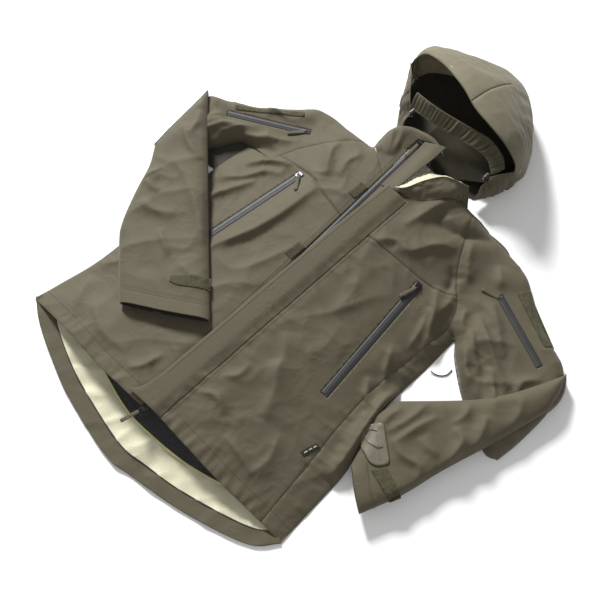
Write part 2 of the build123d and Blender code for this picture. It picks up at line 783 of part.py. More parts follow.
with BuildPart() as neck_patch:
    with BuildSketch(Plane.XY.offset(HOOD_FLOOR)):
        with BuildLine():
            bottom = ThreePointArc((-48, 376), (15, 362), (72, 384))
            Polyline(bottom @ 1, (66, 425), (-46, 405), bottom @ 0)
        make_face()
    extrude(amount=PATCH_THICK)
save(neck_patch.part, "neck_patch")

# Cord locks on the ends of the hood's drawcord: a barrel with a sprung button
LOCKS = ((-98, 51), (86, 51))
LOCK_Y = BAND_LOW[0]
BORE_START = 3.0        # the lock's bore leaves a closed end this thick
BUTTON_START = 7.0      # the button's inner end, with room behind it to press
BUTTON_AIR = 0.15
with BuildPart() as hood_cord_locks:
    for x, z in LOCKS:
        with BuildSketch(Plane.XZ.offset(-LOCK_Y)):
            with Locations((x, z)):
                Circle(LOCK_R)
        extrude(amount=LOCK_LONG)
        with BuildSketch(Plane.XZ.offset(-LOCK_Y + BORE_START)):
            with Locations((x, z)):
                Circle(BUTTON_R + BUTTON_AIR)
        extrude(amount=LOCK_LONG, mode=Mode.SUBTRACT)
save(hood_cord_locks.part, "hood_cord_locks")

for name, (x, z) in zip(("lock_button_right", "lock_button_left"), LOCKS):
    with BuildPart() as button:
        with BuildSketch(Plane.XZ.offset(-LOCK_Y + BUTTON_START)):
            with Locations((x, z)):
                Circle(BUTTON_R)
        extrude(amount=LOCK_LONG - BUTTON_START + BUTTON_PROUD)
        chamfer(button.faces().sort_by(Axis.Y)[0].edges(), 0.5)
    save(button.part, name)

# ---------------------------------------------------------------- drawcord end at the side

CORD_R = 1.0
route = [
    Vector(263.5, 80, 2.6),
    Vector(270.5, 81, 1.5),
    Vector(278, 84.5, 1.05),
    Vector(284.5, 91, 1.05),
    Vector(287.5, 99.5, 1.05),
    Vector(286, 108, 1.05),
]
BEND_SHARE = 0.45       # of the shorter leg at each corner that its bend takes up
radii = []
for before, corner, after in zip(route, route[1:], route[2:]):
    shorter = min((corner - before).length, (after - corner).length)
    half_turn = radians((corner - before).get_angle(after - corner) / 2)
    radii.append(BEND_SHARE * shorter / (sin(half_turn) / cos(half_turn)))
with BuildPart() as hem_drawcord:
    with BuildLine() as path:
        FilletPolyline(*route, radius=radii)
    with BuildSketch(Plane(origin=route[0], z_dir=path.line % 0)):
        Circle(CORD_R)
    sweep()
save(hem_drawcord.part, "hem_drawcord")
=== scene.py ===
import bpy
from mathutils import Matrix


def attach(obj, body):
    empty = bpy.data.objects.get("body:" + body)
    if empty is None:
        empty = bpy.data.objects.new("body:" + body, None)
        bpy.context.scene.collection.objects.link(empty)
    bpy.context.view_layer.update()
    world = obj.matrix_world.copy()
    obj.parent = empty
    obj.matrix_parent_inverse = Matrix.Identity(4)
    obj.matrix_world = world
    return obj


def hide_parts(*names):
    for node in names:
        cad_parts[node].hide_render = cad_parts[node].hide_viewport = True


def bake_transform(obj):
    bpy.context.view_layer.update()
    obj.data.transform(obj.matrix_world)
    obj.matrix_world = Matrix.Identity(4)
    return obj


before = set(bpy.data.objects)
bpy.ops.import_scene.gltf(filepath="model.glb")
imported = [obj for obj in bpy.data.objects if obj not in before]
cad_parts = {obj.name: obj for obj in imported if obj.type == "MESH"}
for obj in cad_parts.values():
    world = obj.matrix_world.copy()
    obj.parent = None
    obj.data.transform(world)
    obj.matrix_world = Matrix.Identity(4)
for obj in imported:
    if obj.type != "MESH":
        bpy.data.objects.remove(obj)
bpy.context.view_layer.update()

import math

import bpy
import numpy as np
from mathutils import Matrix, Vector, noise
from mathutils.geometry import delaunay_2d_cdt

# A hooded hardshell jacket laid on its back. Plan coordinates in this script are millimetres
# in the frame of the CAD model: +Y to the hood, +X to the wearer's left, +Z up from the floor.
MM = 0.001
STEP = 3.7              # spacing of the points inside a panel
EDGE_STEP = 4.0         # and along its outline
CLOTH = 1.3             # thickness of the shell with its seams

# ---------------------------------------------------------------- camera, floor and light

FLOOR_HALF = 6.0
FLOOR_DROP = 0.0002     # keeps the floor's face off the faces that lie on it
FLOOR_GREY = 0.9
SKY_STRENGTH = 0.43
# Each light: its name, place in metres, the side of its square in metres and its power in watts
LIGHTS = [("key", (-4.5, 2.0, 3.3), 1.2, 640), ("fill", (1.2, -1.4, 1.8), 1.6, 9)]
VIEW_TURN = math.radians(47)
VIEW_LIFT = math.radians(67)
VIEW_FAR = 1.78
VIEW_ANGLE = math.radians(32)
VIEW_AIM = Vector((0.027, 0.0, 0.03))


def link(thing):
    bpy.context.scene.collection.objects.link(thing)
    return thing


def add_camera():
    data = bpy.data.cameras.new("camera")
    data.sensor_width = 36.0
    data.lens = data.sensor_width / 2 / math.tan(VIEW_ANGLE / 2)
    camera = link(bpy.data.objects.new("camera", data))
    flat = math.cos(VIEW_LIFT)
    back = Vector((math.sin(VIEW_TURN) * flat, -math.cos(VIEW_TURN) * flat, math.sin(VIEW_LIFT)))
    camera.location = VIEW_AIM + back * VIEW_FAR
    camera.rotation_euler = back.to_track_quat("Z", "Y").to_euler()
    bpy.context.scene.camera = camera


def add_light(name, place, size, watts):
    data = bpy.data.lights.new(name, "AREA")
    data.shape = "SQUARE"
    data.size = size
    data.energy = watts
    lamp = link(bpy.data.objects.new(name, data))
    lamp.location = place
    lamp.rotation_euler = Vector(place).to_track_quat("Z", "Y").to_euler()


def add_floor():
    mesh = bpy.data.meshes.new("floor")
    corners = [(FLOOR_HALF * a, FLOOR_HALF * b, 0) for a, b in ((-1, -1), (1, -1), (1, 1), (-1, 1))]
    mesh.from_pydata(corners, [], [(0, 1, 2, 3)])
    floor = link(bpy.data.objects.new("floor", mesh))
    floor.location.z = -FLOOR_DROP
    material = bpy.data.materials.new("floor")
    material.use_nodes = True
    shader = material.node_tree.nodes["Principled BSDF"]
    shader.inputs["Base Color"].default_value = (FLOOR_GREY, FLOOR_GREY, FLOOR_GREY, 1)
    shader.inputs["Roughness"].default_value = 0.9
    mesh.materials.append(material)


def add_world():
    world = bpy.data.worlds.new("studio")
    world.use_nodes = True
    sky = world.node_tree.nodes["Background"]
    sky.inputs["Color"].default_value = (1.0, 1.0, 1.0, 1)
    sky.inputs["Strength"].default_value = SKY_STRENGTH
    bpy.context.scene.world = world
    bpy.context.scene.view_settings.view_transform = "Standard"


add_camera()
add_floor()
add_world()
for name, place, size, watts in LIGHTS:
    add_light(name, place, size, watts)

# ---------------------------------------------------------------- materials


class Material:
    """A material under construction: short calls that add and link shader nodes."""

    def __init__(self, name):
        self.material = bpy.data.materials.new(name)
        self.material.use_nodes = True
        self.tree = self.material.node_tree
        self.shader = self.tree.nodes["Principled BSDF"]

    def node(self, kind, **settings):
        made = self.tree.nodes.new(kind)
        for key, value in settings.items():
            setattr(made, key, value)
        return made

    def link(self, source, target):
        self.tree.links.new(source, target)

    def set(self, **values):
        for key, value in values.items():
            self.shader.inputs[key.replace("_", " ")].default_value = value

    def coordinates(self, kind="UV", scale=(1, 1, 1)):
        where = self.node("ShaderNodeTexCoord")
        mapping = self.node("ShaderNodeMapping")
        mapping.inputs["Scale"].default_value = scale
        self.link(where.outputs[kind], mapping.inputs["Vector"])
        return mapping.outputs["Vector"]

    def noise(self, vector, scale, detail=2.0, rough=0.5):
        texture = self.node("ShaderNodeTexNoise")
        texture.inputs["Scale"].default_value = scale
        texture.inputs["Detail"].default_value = detail
        texture.inputs["Roughness"].default_value = rough
        self.link(vector, texture.inputs["Vector"])
        return texture.outputs["Fac"]

    def math(self, operation, first, second=None):
        made = self.node("ShaderNodeMath", operation=operation)
        for socket, value in zip(made.inputs, (first, second)):
            if value is None:
                continue
            if isinstance(value, (int, float)):
                socket.default_value = value
            else:
                self.link(value, socket)
        return made.outputs[0]

    def remap(self, value, low, high, new_low, new_high):
        made = self.node("ShaderNodeMapRange")
        limits = {"From Min": low, "From Max": high, "To Min": new_low, "To Max": new_high}
        for name, number in limits.items():
            made.inputs[name].default_value = number
        self.link(value, made.inputs["Value"])
        return made.outputs["Result"]

    def tint(self, colour, *factors):
        """The base colour times each factor."""
        value = factors[0]
        for factor in factors[1:]:
            value = self.math("MULTIPLY", value, factor)
        mix = self.node("ShaderNodeMix", data_type="RGBA", blend_type="MULTIPLY")
        mix.inputs["Factor"].default_value = 1.0
        mix.inputs["A"].default_value = (*colour, 1)
        self.link(value, mix.inputs["B"])
        self.link(mix.outputs["Result"], self.shader.inputs["Base Color"])

    def bump(self, height, strength, distance):
        made = self.node("ShaderNodeBump")
        made.inputs["Strength"].default_value = strength
        made.inputs["Distance"].default_value = distance
        self.link(height, made.inputs["Height"])
        self.link(made.outputs["Normal"], self.shader.inputs["Normal"])


def grid_lines(material, vector, pitch, share):
    """A mask of thin lines both ways, one pitch apart: 1 on a line and 0 between."""
    split = material.node("ShaderNodeSeparateXYZ")
    material.link(vector, split.inputs[0])
    lines = []
    for axis in ("X", "Y"):
        turns = material.math("DIVIDE", split.outputs[axis], pitch)
        saw = material.math("PINGPONG", turns, 0.5)
        lines.append(material.remap(saw, 0.0, share, 1.0, 0.0))
    return material.math("MAXIMUM", lines[0], lines[1])


RIPSTOP_PITCH = 0.0052  # metres between the thicker threads
RIPSTOP_LINE = 0.13     # share of the pitch that a thread takes
CREASE_WIDTH = 0.11
CREASE_HEIGHT = 3.2     # in units of the bump's depth
BUMP_DEPTH = 0.0003


def shell_material(name, colour, ripstop=0.10, rough=0.74):
    """Hardshell face cloth: ripstop squares, a tight weave, uneven tone and patches of fine creases."""
    made = Material(name)
    uv = made.coordinates("UV")
    squares = grid_lines(made, uv, RIPSTOP_PITCH, RIPSTOP_LINE)
    weave = made.noise(uv, 1400.0, 1.0)
    tone = made.noise(uv, 9.0, 4.0, 0.6)
    speckle = made.noise(uv, 420.0, 2.0)
    made.tint(
        colour,
        made.remap(tone, 0.3, 0.7, 0.94, 1.06),
        made.remap(squares, 0.0, 1.0, 1.0, 1.0 - ripstop),
        made.remap(speckle, 0.3, 0.7, 0.94, 1.06),
    )
    made.link(made.remap(tone, 0.3, 0.7, rough - 0.05, rough + 0.05), made.shader.inputs["Roughness"])
    height = made.math("ADD", made.math("MULTIPLY", squares, 0.6), made.math("MULTIPLY", weave, 0.5))
    crinkle = made.noise(uv, 38.0, 2.0, 0.5)
    patches = made.noise(uv, 11.0, 1.0)
    from_middle = made.math("ABSOLUTE", made.math("SUBTRACT", crinkle, 0.5), 0.0)
    line = made.remap(from_middle, 0.0, CREASE_WIDTH, 1.0, 0.0)
    line = made.math("MULTIPLY", line, made.remap(patches, 0.42, 0.62, 0.0, 1.0))
    height = made.math("ADD", height, made.math("MULTIPLY", line, CREASE_HEIGHT))
    made.bump(height, 0.35, BUMP_DEPTH)
    made.set(Sheen_Weight=0.08, Sheen_Roughness=0.5, Specular_IOR_Level=0.3)
    return made.material


def pile_material(name, colour, size):
    """Hook, loop and brushed cloth: a deep irregular pile."""
    made = Material(name)
    uv = made.coordinates("UV")
    tufts = made.noise(uv, size, 3.0, 0.7)
    clumps = made.noise(uv, size * 0.25, 2.0)
    made.tint(colour, made.remap(tufts, 0.3, 0.7, 0.5, 1.4), made.remap(clumps, 0.3, 0.7, 0.8, 1.2))
    made.bump(tufts, 0.9, 0.0011)
    made.set(Roughness=0.95, Sheen_Weight=0.06, Sheen_Roughness=0.5, Specular_IOR_Level=0.15)
    return made.material


def plain_material(name, colour, rough, metal=0.0, grain=900.0, coat=0.0):
    """Moulded, cast or laminated parts with a fine grain."""
    made = Material(name)
    where = made.coordinates("Object")
    fine = made.noise(where, grain, 2.0)
    broad = made.noise(where, grain * 0.05, 2.0)
    made.tint(colour, made.remap(broad, 0.3, 0.7, 0.88, 1.12))
    made.link(made.remap(fine, 0.3, 0.7, rough - 0.08, rough + 0.08), made.shader.inputs["Roughness"])
    made.bump(fine, 0.25, 0.0002)
    made.set(Metallic=metal, Coat_Weight=coat)
    return made.material


SHELL_COLOUR = (0.080, 0.068, 0.041)
# The hood's outer panels are the shell's cloth made lighter: painted light, for the brighter light on the
# hood's top.
HOOD_PAINTED_LIGHT_COLOUR = (0.130, 0.115, 0.076)
# The hood's inside is the same shell cloth made lighter still: painted light, lifting the shade inside the
# hood.
HOOD_INSIDE_PAINTED_LIGHT_COLOUR = (0.23, 0.205, 0.130)
# A very dark copy of the shell cloth: painted shade, for the insides of the sleeves and elbows, the gap
# under the right arm and the hood's back.
PAINTED_SHADE_COLOUR = (0.028, 0.024, 0.015)
LINING_COLOUR = (0.52, 0.50, 0.36)

shell = shell_material("shell", SHELL_COLOUR)
hood_shell_painted_light = shell_material("hood_shell_painted_light", HOOD_PAINTED_LIGHT_COLOUR)
shell_painted_shade = shell_material("shell_painted_shade", PAINTED_SHADE_COLOUR)
hood_inside_painted_light = shell_material("hood_inside_painted_light", HOOD_INSIDE_PAINTED_LIGHT_COLOUR)
lining = shell_material("lining", LINING_COLOUR, 0.04, 0.55)
piping = shell_material("piping", (0.50, 0.47, 0.20), 0.0)
dark_piping = shell_material("dark_piping", (0.035, 0.033, 0.035), 0.0)
mesh_cloth = pile_material("mesh_cloth", (0.055, 0.053, 0.056), 900.0)
brushed = pile_material("brushed", (0.040, 0.036, 0.024), 1500.0)
loop_pile = pile_material("loop_pile", (0.070, 0.066, 0.038), 700.0)
hook_pile = pile_material("hook_pile", (0.062, 0.057, 0.035), 900.0)
laminate = plain_material("laminate", (0.022, 0.022, 0.022), 0.6, grain=1500.0)
black_metal = plain_material("black_metal", (0.022, 0.022, 0.024), 0.35, 0.6)
black_plastic = plain_material("black_plastic", (0.02, 0.02, 0.02), 0.42)
cord_black = plain_material("cord_black", (0.012, 0.012, 0.012), 0.8, grain=2500.0)
tab_rubber = plain_material("tab_rubber", (0.115, 0.103, 0.068), 0.55)
grip_rubber = plain_material("grip_rubber", (0.075, 0.068, 0.048), 0.4)
label_cloth = shell_material("label_cloth", (0.018, 0.017, 0.016), 0.3)
label_thread = plain_material("label_thread", (0.30, 0.27, 0.16), 0.7)
thread = plain_material("thread", (0.070, 0.063, 0.042), 0.7)

# ---------------------------------------------------------------- plan curves and panels


def smooth(points, step=EDGE_STEP):
    """Points along a curve through the given ones, in two or three dimensions."""
    points = np.array(points, float)
    if len(points) == 2:
        count = max(1, round(float(np.linalg.norm(points[1] - points[0])) / step))
        share = np.linspace(0, 1, count + 1)[:, None]
        return points[0] * (1 - share) + points[1] * share
    ends = np.vstack([2 * points[0] - points[1], points, 2 * points[-1] - points[-2]])
    run = []
    for a, b, c, d in zip(ends, ends[1:], ends[2:], ends[3:]):
        count = max(1, round(float(np.linalg.norm(c - b)) / step))
        t = np.arange(count)[:, None] / count
        bend = 2 * a - 5 * b + 4 * c - d
        twist = 3 * b - a - 3 * c + d
        run.append(0.5 * (2 * b + (c - a) * t + bend * t**2 + twist * t**3))
    return np.vstack(run + [points[-1][None]])


def resample(curve, count):
    """The same curve as a given number of evenly spaced points."""
    steps = np.linalg.norm(np.diff(curve, axis=0), axis=1)
    where = np.concatenate([[0], np.cumsum(steps)])
    wanted = np.linspace(0, where[-1], count)
    return np.column_stack([np.interp(wanted, where, column) for column in curve.T])


def loop(*runs):
    """A closed outline from runs of points, each one a smooth curve, joined end to end."""
    parts = []
    for index, run in enumerate(runs):
        following = np.array(runs[(index + 1) % len(runs)][0], float)
        parts.append(smooth(run))
        if np.linalg.norm(parts[-1][-1] - following) > 1.0:
            parts.append(smooth([run[-1], following])[1:-1])
    points = np.vstack([part for part in parts if len(part)])
    keep = np.linalg.norm(points - np.roll(points, 1, axis=0), axis=1) > 0.5
    return points[keep]


def along(xy, line, closed=False):
    """Distance from a polyline, distance along it, and on which side, for each point."""
    start = line if closed else line[:-1]
    end = np.roll(line, -1, axis=0) if closed else line[1:]
    gap = np.full(len(xy), 1e9)
    where = np.zeros(len(xy))
    side = np.zeros(len(xy))
    passed = 0.0
    for s, e in zip(start, end):
        d = e - s
        size = max(float(d @ d), 1e-9)
        t = np.clip(((xy - s) @ d) / size, 0, 1)
        off = xy - s - t[:, None] * d
        here = np.hypot(off[:, 0], off[:, 1])
        nearer = here < gap
        long = math.sqrt(size)
        gap = np.where(nearer, here, gap)
        where = np.where(nearer, passed + t * long, where)
        side = np.where(nearer, np.sign(d[0] * off[:, 1] - d[1] * off[:, 0]), side)
        passed += long
    return gap, where, side


def away(xy, line, closed=True):
    """Distance of each point from a line."""
    return along(xy, line, closed)[0]


def inside(xy, line):
    """Which points lie inside a closed outline."""
    x, y = xy[:, 0], xy[:, 1]
    within = np.zeros(len(xy), bool)
    for (x1, y1), (x2, y2) in zip(line, np.roll(line, -1, axis=0)):
        if y1 == y2:
            continue
        within ^= ((y1 > y) != (y2 > y)) & (x < (x2 - x1) * (y - y1) / (y2 - y1) + x1)
    return within


def area_of(line):
    """Area inside a closed outline."""
    x, y = line[:, 0], line[:, 1]
    return abs(float(np.sum(x * np.roll(y, -1) - y * np.roll(x, -1)))) / 2


def fill(line, holes=(), step=STEP):
    """A triangle mesh of a plan outline with holes, finer along its edge."""
    low, high = line.min(0), line.max(0)
    xs = np.arange(low[0], high[0], step)
    rows = []
    for index, y in enumerate(np.arange(low[1], high[1], step * 0.87)):
        shift = step / 2 if index % 2 else 0
        rows.append(np.column_stack([xs + shift, np.full(len(xs), y)]))
    grid = np.vstack(rows)
    grid = grid[inside(grid, line)]
    grid = grid[away(grid, line) > step * 1.1]
    ahead = np.roll(line, -1, axis=0) - np.roll(line, 1, axis=0)
    size = np.maximum(np.linalg.norm(ahead, axis=1), 1e-9)
    normal = np.column_stack([-ahead[:, 1], ahead[:, 0]]) / size[:, None]
    rims = []
    for reach in (1.3, 3.2):
        for side in (1, -1):
            moved = line + normal * reach * side
            moved = moved[inside(moved, line)]
            rims.append(moved[away(moved, line) > reach * 0.85])
    points = np.vstack([line, grid] + rims)
    edges = [(i, (i + 1) % len(line)) for i in range(len(line))]
    for hole in holes:
        points = points[(np.arange(len(points)) < len(line)) | (away(points, hole) > 1.2)]
        base = len(points)
        points = np.vstack([points, hole])
        edges += [(base + i, base + (i + 1) % len(hole)) for i in range(len(hole))]
    found = delaunay_2d_cdt([Vector(p) for p in points], edges, [], 1, 1e-4)
    verts = np.array([(v.x, v.y) for v in found[0]])
    faces = np.array([tuple(face) for face in found[2]])
    for hole in holes:
        faces = faces[~inside(verts[faces].mean(axis=1), hole)]
    a, b, c = (verts[faces[:, i]] for i in range(3))
    turn = (b - a)[:, 0] * (c - a)[:, 1] - (b - a)[:, 1] * (c - a)[:, 0]
    faces[turn < 0] = faces[turn < 0][:, ::-1]
    used = np.unique(faces)
    renumber = np.full(len(verts), -1)
    renumber[used] = np.arange(len(used))
    return verts[used], renumber[faces]


def make(name, verts, faces, materials, uv=None):
    """A mesh object from points in millimetres, smooth, with its UVs in metres."""
    mesh = bpy.data.meshes.new(name)
    mesh.from_pydata([tuple(p) for p in np.asarray(verts) * MM], [], [tuple(map(int, f)) for f in faces])
    for material in materials:
        mesh.materials.append(material)
    mesh.polygons.foreach_set("use_smooth", [True] * len(mesh.polygons))
    where = np.asarray(verts)[:, :2] if uv is None else np.asarray(uv)
    layer = mesh.uv_layers.new(name="UVMap")
    index = np.zeros(len(mesh.loops), int)
    mesh.loops.foreach_get("vertex_index", index)
    layer.data.foreach_set("uv", (where[index] * MM).ravel())
    mesh.update()
    return link(bpy.data.objects.new(name, mesh))


def apply_modifiers(piece):
    """Put the result of the modifiers in place of the mesh."""
    graph = bpy.context.evaluated_depsgraph_get()
    mesh = bpy.data.meshes.new_from_object(piece.evaluated_get(graph))
    piece.modifiers.clear()
    piece.data = mesh


def thicken(piece, thick=CLOTH, offset=-1.0):
    """Give a sheet its thickness, with its last material on its inner side."""
    solid = piece.modifiers.new("thickness", "SOLIDIFY")
    solid.thickness = thick * MM
    solid.offset = offset
    solid.use_even_offset = False
    solid.material_offset = len(piece.data.materials) - 1
    apply_modifiers(piece)
    return piece


def laid_sheet(name, line, height, materials, thick=CLOTH, holes=(), step=STEP, offset=-1.0):
    """A sheet from its plan outline. Its height comes from x, y and the distance from its edge."""
    verts, faces = fill(line, holes, step)
    z = height(verts[:, 0], verts[:, 1], away(verts, line))
    piece = make(name, np.column_stack([verts, z]), faces, materials)
    return thicken(piece, thick, offset)


def finish_piece(piece, body, nodes=(), bend=None):
    """Fix a piece to its body, or, when it is given a bend, only bake its place into its mesh instead."""
    if bend:
        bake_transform(piece)
    else:
        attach(piece, body)
    if nodes:
        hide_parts(*nodes)
    return piece


def grid_mesh(grid, name, materials):
    """A sheet from a grid of points, its UVs measured along its middle lines."""
    high, wide = grid.shape[:2]
    faces = []
    for i in range(high - 1):
        for j in range(wide - 1):
            a = i * wide + j
            faces.append((a, a + 1, a + wide + 1, a + wide))
    across = np.linalg.norm(np.diff(grid[high // 2], axis=0), axis=1)
    down = np.linalg.norm(np.diff(grid[:, wide // 2], axis=0), axis=1)
    u, v = np.meshgrid(np.concatenate([[0], np.cumsum(across)]), np.concatenate([[0], np.cumsum(down)]))
    uv = np.column_stack([u.ravel(), v.ravel()])
    return make(name, grid.reshape(-1, 3), faces, materials, uv)


def normals_of(grid):
    """Unit normals of a grid of points."""
    du = np.gradient(grid, axis=1)
    dv = np.gradient(grid, axis=0)
    normal = np.cross(du, dv)
    return normal / np.maximum(np.linalg.norm(normal, axis=2, keepdims=True), 1e-9)


# ---------------------------------------------------------------- the lie of the cloth

HEM_Y = -313.0
ARMPIT_Y = 150.0
HEM_HALF = 300.0
CHEST_HALF = 255.0
HEM_CROWN = 42.0
CROWN_RISE = 0.03
FLOOR_CLEAR = 2.0
OUTER_PART = 190.0      # the arch is the CAD model's from the zip out to here

# Half widths of the torso as it lies, at stations along it
LEFT_EDGE = [
    (-330, 303), (-297, 303), (-196, 296), (-142, 292), (-70, 268),
    (-14, 257), (81, 256), (150, 252), (420, 250),
]
RIGHT_EDGE = [(-330, 297), (-287, 291), (-212, 279), (-155, 277), (63, 279), (160, 272), (420, 260)]

ZIP_TOP = (-40.0, 361.0)
ZIP_BOTTOM = (-2.0, -331.0)


def zip_x(y):
    """Where the main zip is, across the jacket, at a place along it."""
    share = (y - ZIP_BOTTOM[1]) / (ZIP_TOP[1] - ZIP_BOTTOM[1])
    return ZIP_BOTTOM[0] + share * (ZIP_TOP[0] - ZIP_BOTTOM[0])


def crown(y):
    """Height of the top of the arch, which climbs a little from the hem."""
    return HEM_CROWN + CROWN_RISE * (y - HEM_Y)


def arch(x, y):
    """Height of the arched front at a point in plan."""
    half = HEM_HALF - (HEM_HALF - CHEST_HALF) * (y - HEM_Y) / (ARMPIT_Y - HEM_Y)
    left = np.interp(y, *zip(*LEFT_EDGE))
    right = np.interp(y, *zip(*RIGHT_EDGE))
    edge = np.where(x > 0, left, right)
    reach = np.abs(x)
    beyond = np.clip((reach - OUTER_PART) / (edge - OUTER_PART), 0, None)
    reach = np.where(reach > OUTER_PART, OUTER_PART + beyond * (half - OUTER_PART), reach)
    rise = crown(y) - FLOOR_CLEAR
    radius = (half**2 + rise**2) / (2 * rise)
    return np.maximum(crown(y) - radius + np.sqrt(np.maximum(radius**2 - reach**2, 0)), 1.0)


def roll(distance, radius):
    """From 0 at a rolled edge to 1 at a radius inside it, round like folded cloth."""
    share = np.clip(distance / radius, 0, 1)
    return np.sqrt(np.clip(1 - (1 - share) ** 2, 0, 1))


def ease(value, low, high):
    """A soft step from 0 at low to 1 at high."""
    share = np.clip((value - low) / (high - low), 0, 1)
    return share * share * (3 - 2 * share)


def smooth_max(a, b, soft=4.0):
    """The higher of two surfaces, with a soft line where they meet."""
    return 0.5 * (a + b + np.sqrt((a - b) ** 2 + soft**2))


LEFT_ARM = loop(
    [(150, 332), (181, 334), (254, 326), (342, 272), (402, 251), (425, 235)],
    [(425, 235), (436, 205), (447, 165), (448, 97), (444, 50)],
    [(444, 50), (416, 44), (334, 83), (276, 124), (254, 148), (200, 160)],
    [(200, 160), (150, 200), (140, 280), (150, 332)],
)
RIGHT_ARM = loop(
    [(-150, 300), (-228, 298), (-268, 264), (-307, 229), (-360, 190), (-400, 165)],
    [(-400, 165), (-388, 110), (-378, 17)],
    [(-378, 17), (-345, 45), (-312, 100), (-282, 148), (-200, 165)],
    [(-200, 165), (-150, 210), (-140, 260), (-150, 300)],
)
ARM_HIGH = 19.0
ARM_ROLL = 22.0
RIGHT_SHOULDER = smooth([(-400, 165), (-307, 229), (-228, 298), (-160, 303), (-107, 305)])
LEFT_SHOULDER = smooth([(98, 342), (150, 336), (254, 327), (342, 272), (425, 235)])
SHOULDER_ROLL = 34.0


def base(x, y):
    """Height of the front and the upper arms before any wrinkles."""
    xy = np.column_stack([x, y])
    body = arch(x, y)
    for line in (RIGHT_SHOULDER, LEFT_SHOULDER):
        body = np.where(y > 120, body * roll(away(xy, line, False) + 2.0, SHOULDER_ROLL), body)
    for arm in (LEFT_ARM, RIGHT_ARM):
        within = inside(xy, arm)
        depth = np.where(within, away(xy, arm), 0)
        body = np.where(within, smooth_max(body, ARM_HIGH * roll(depth, ARM_ROLL) + 1.0), body)
    return body


# ---------------------------------------------------------------- folds and wrinkles

# Each fold: its line in plan, its height, and its width on the line's left and right side.
# One wide side and one narrow side make a fold that leans over.
TORSO_FOLDS = [
    ([(-104, 170), (-108, 79), (-121, 14), (-152, -51), (-170, -80)], 6.0, 7, 30),
    ([(74, 176), (100, 196), (117, 229), (146, 260)], 5.0, 18, 6),
    ([(40, 150), (51, 172), (66, 188), (92, 186)], 3.0, 9, 5),
    ([(84, 320), (70, 293), (66, 262), (56, 216)], 6.0, 8, 16),
    ([(83, 317), (90, 275), (131, 285), (180, 332)], -7.0, 14, 14),
    ([(150, 300), (172, 262), (200, 232)], 5.0, 14, 8),
    ([(160, 230), (180, 214), (187, 189)], -4.5, 8, 8),
    ([(196, 205), (205, 180), (204, 150)], 5.0, 8, 12),
    ([(170, 188), (196, 152), (218, 118), (232, 90)], 6.0, 13, 6),
    ([(186, 150), (204, 112), (214, 70)], 4.0, 10, 5),
    ([(192, 60), (214, 20), (240, -8)], 4.0, 10, 6),
    ([(204, -10), (226, -36), (252, -40)], 5.0, 11, 6),
    ([(-148, 262), (-141, 232), (-112, 189)], 6.0, 8, 14),
    ([(-96, 270), (-104, 240), (-92, 205)], 4.0, 7, 12),
    ([(-240, 112), (-205, 150), (-172, 166)], 6.5, 12, 6),
    ([(-252, 60), (-222, 88), (-196, 128), (-170, 140)], 5.5, 13, 6),
    ([(-232, 22), (-212, 66), (-196, 104)], 4.5, 10, 6),
    ([(-258, -20), (-236, 14), (-224, 50)], 4.0, 12, 7),
    ([(-76, -296), (-58, -270), (-50, -235)], 3.5, 8, 5),
    ([(36, -236), (66, -220), (96, -232)], 4.0, 10, 5),
    ([(44, -190), (62, -170), (60, -140)], 3.0, 9, 6),
    ([(118, -252), (159, -256), (196, -262)], 4.0, 9, 5),
    ([(84, -105), (117, -140), (138, -190)], 4.5, 20, 10),
    ([(60, -60), (92, -98), (104, -150)], 3.0, 18, 12),
    ([(176, -182), (196, -228), (190, -276)], 4.0, 14, 8),
    ([(112, 20), (120, -30), (112, -80)], 2.5, 22, 14),
    ([(60, 110), (84, 70), (88, 20)], 3.0, 20, 12),
    ([(-210, -262), (-150, -282), (-96, -276)], 3.0, 14, 8),
    ([(-262, -226), (-240, -268), (-214, -300)], 3.0, 12, 8),
]
ARM_FOLDS = [
    ([(238, 262), (262, 236), (290, 212), (336, 178)], 6.0, 7, 14),
    ([(250, 206), (300, 178), (352, 152), (392, 148)], 7.0, 6, 13),
    ([(262, 178), (290, 150), (330, 128)], 6.0, 6, 11),
    ([(270, 150), (306, 116), (356, 96)], 5.0, 7, 10),
    ([(330, 150), (370, 118), (412, 104)], 5.5, 6, 11),
    ([(402, 196), (384, 168), (396, 140)], 5.0, 8, 8),
    ([(360, 128), (386, 90), (420, 70)], 5.0, 6, 11),
    ([(212, 300), (236, 276), (246, 250)], 4.0, 12, 8),
    ([(232, 200), (240, 176), (258, 160)], 5.0, 7, 7),
    ([(-330, 176), (-352, 142), (-362, 100)], 5.0, 9, 6),
    ([(-300, 176), (-330, 130), (-348, 80)], 6.0, 6, 12),
    ([(-272, 206), (-300, 160), (-322, 118)], 5.0, 6, 10),
    ([(-232, 186), (-262, 168), (-290, 150)], 5.0, 7, 7),
    ([(-208, 214), (-238, 188), (-268, 172)], 4.0, 7, 7),
]
PUCKERED_SEAMS = [
    (smooth([(27, -309), (29, 150)], 12.0), 0.9, 20.0),
    (smooth([(-230, -325), (-60, -322)], 12.0), 1.3, 30.0),
    (smooth([(20, -309), (90, -309), (171, -307), (262, -300)], 12.0), 1.5, 38.0),
    (smooth([(246, -204), (232, -110), (224, -20), (228, 60), (231, 109)], 12.0), 1.6, 26.0),
    (smooth([(302, -298), (295, -196), (268, -70), (257, -14), (256, 81)], 12.0), 1.4, 30.0),
    (smooth([(165, 248), (204, 198), (234, 153)], 12.0), 1.3, 20.0),
    (smooth([(-279, -212), (-277, -155), (-279, 63)], 12.0), 1.5, 34.0),
]
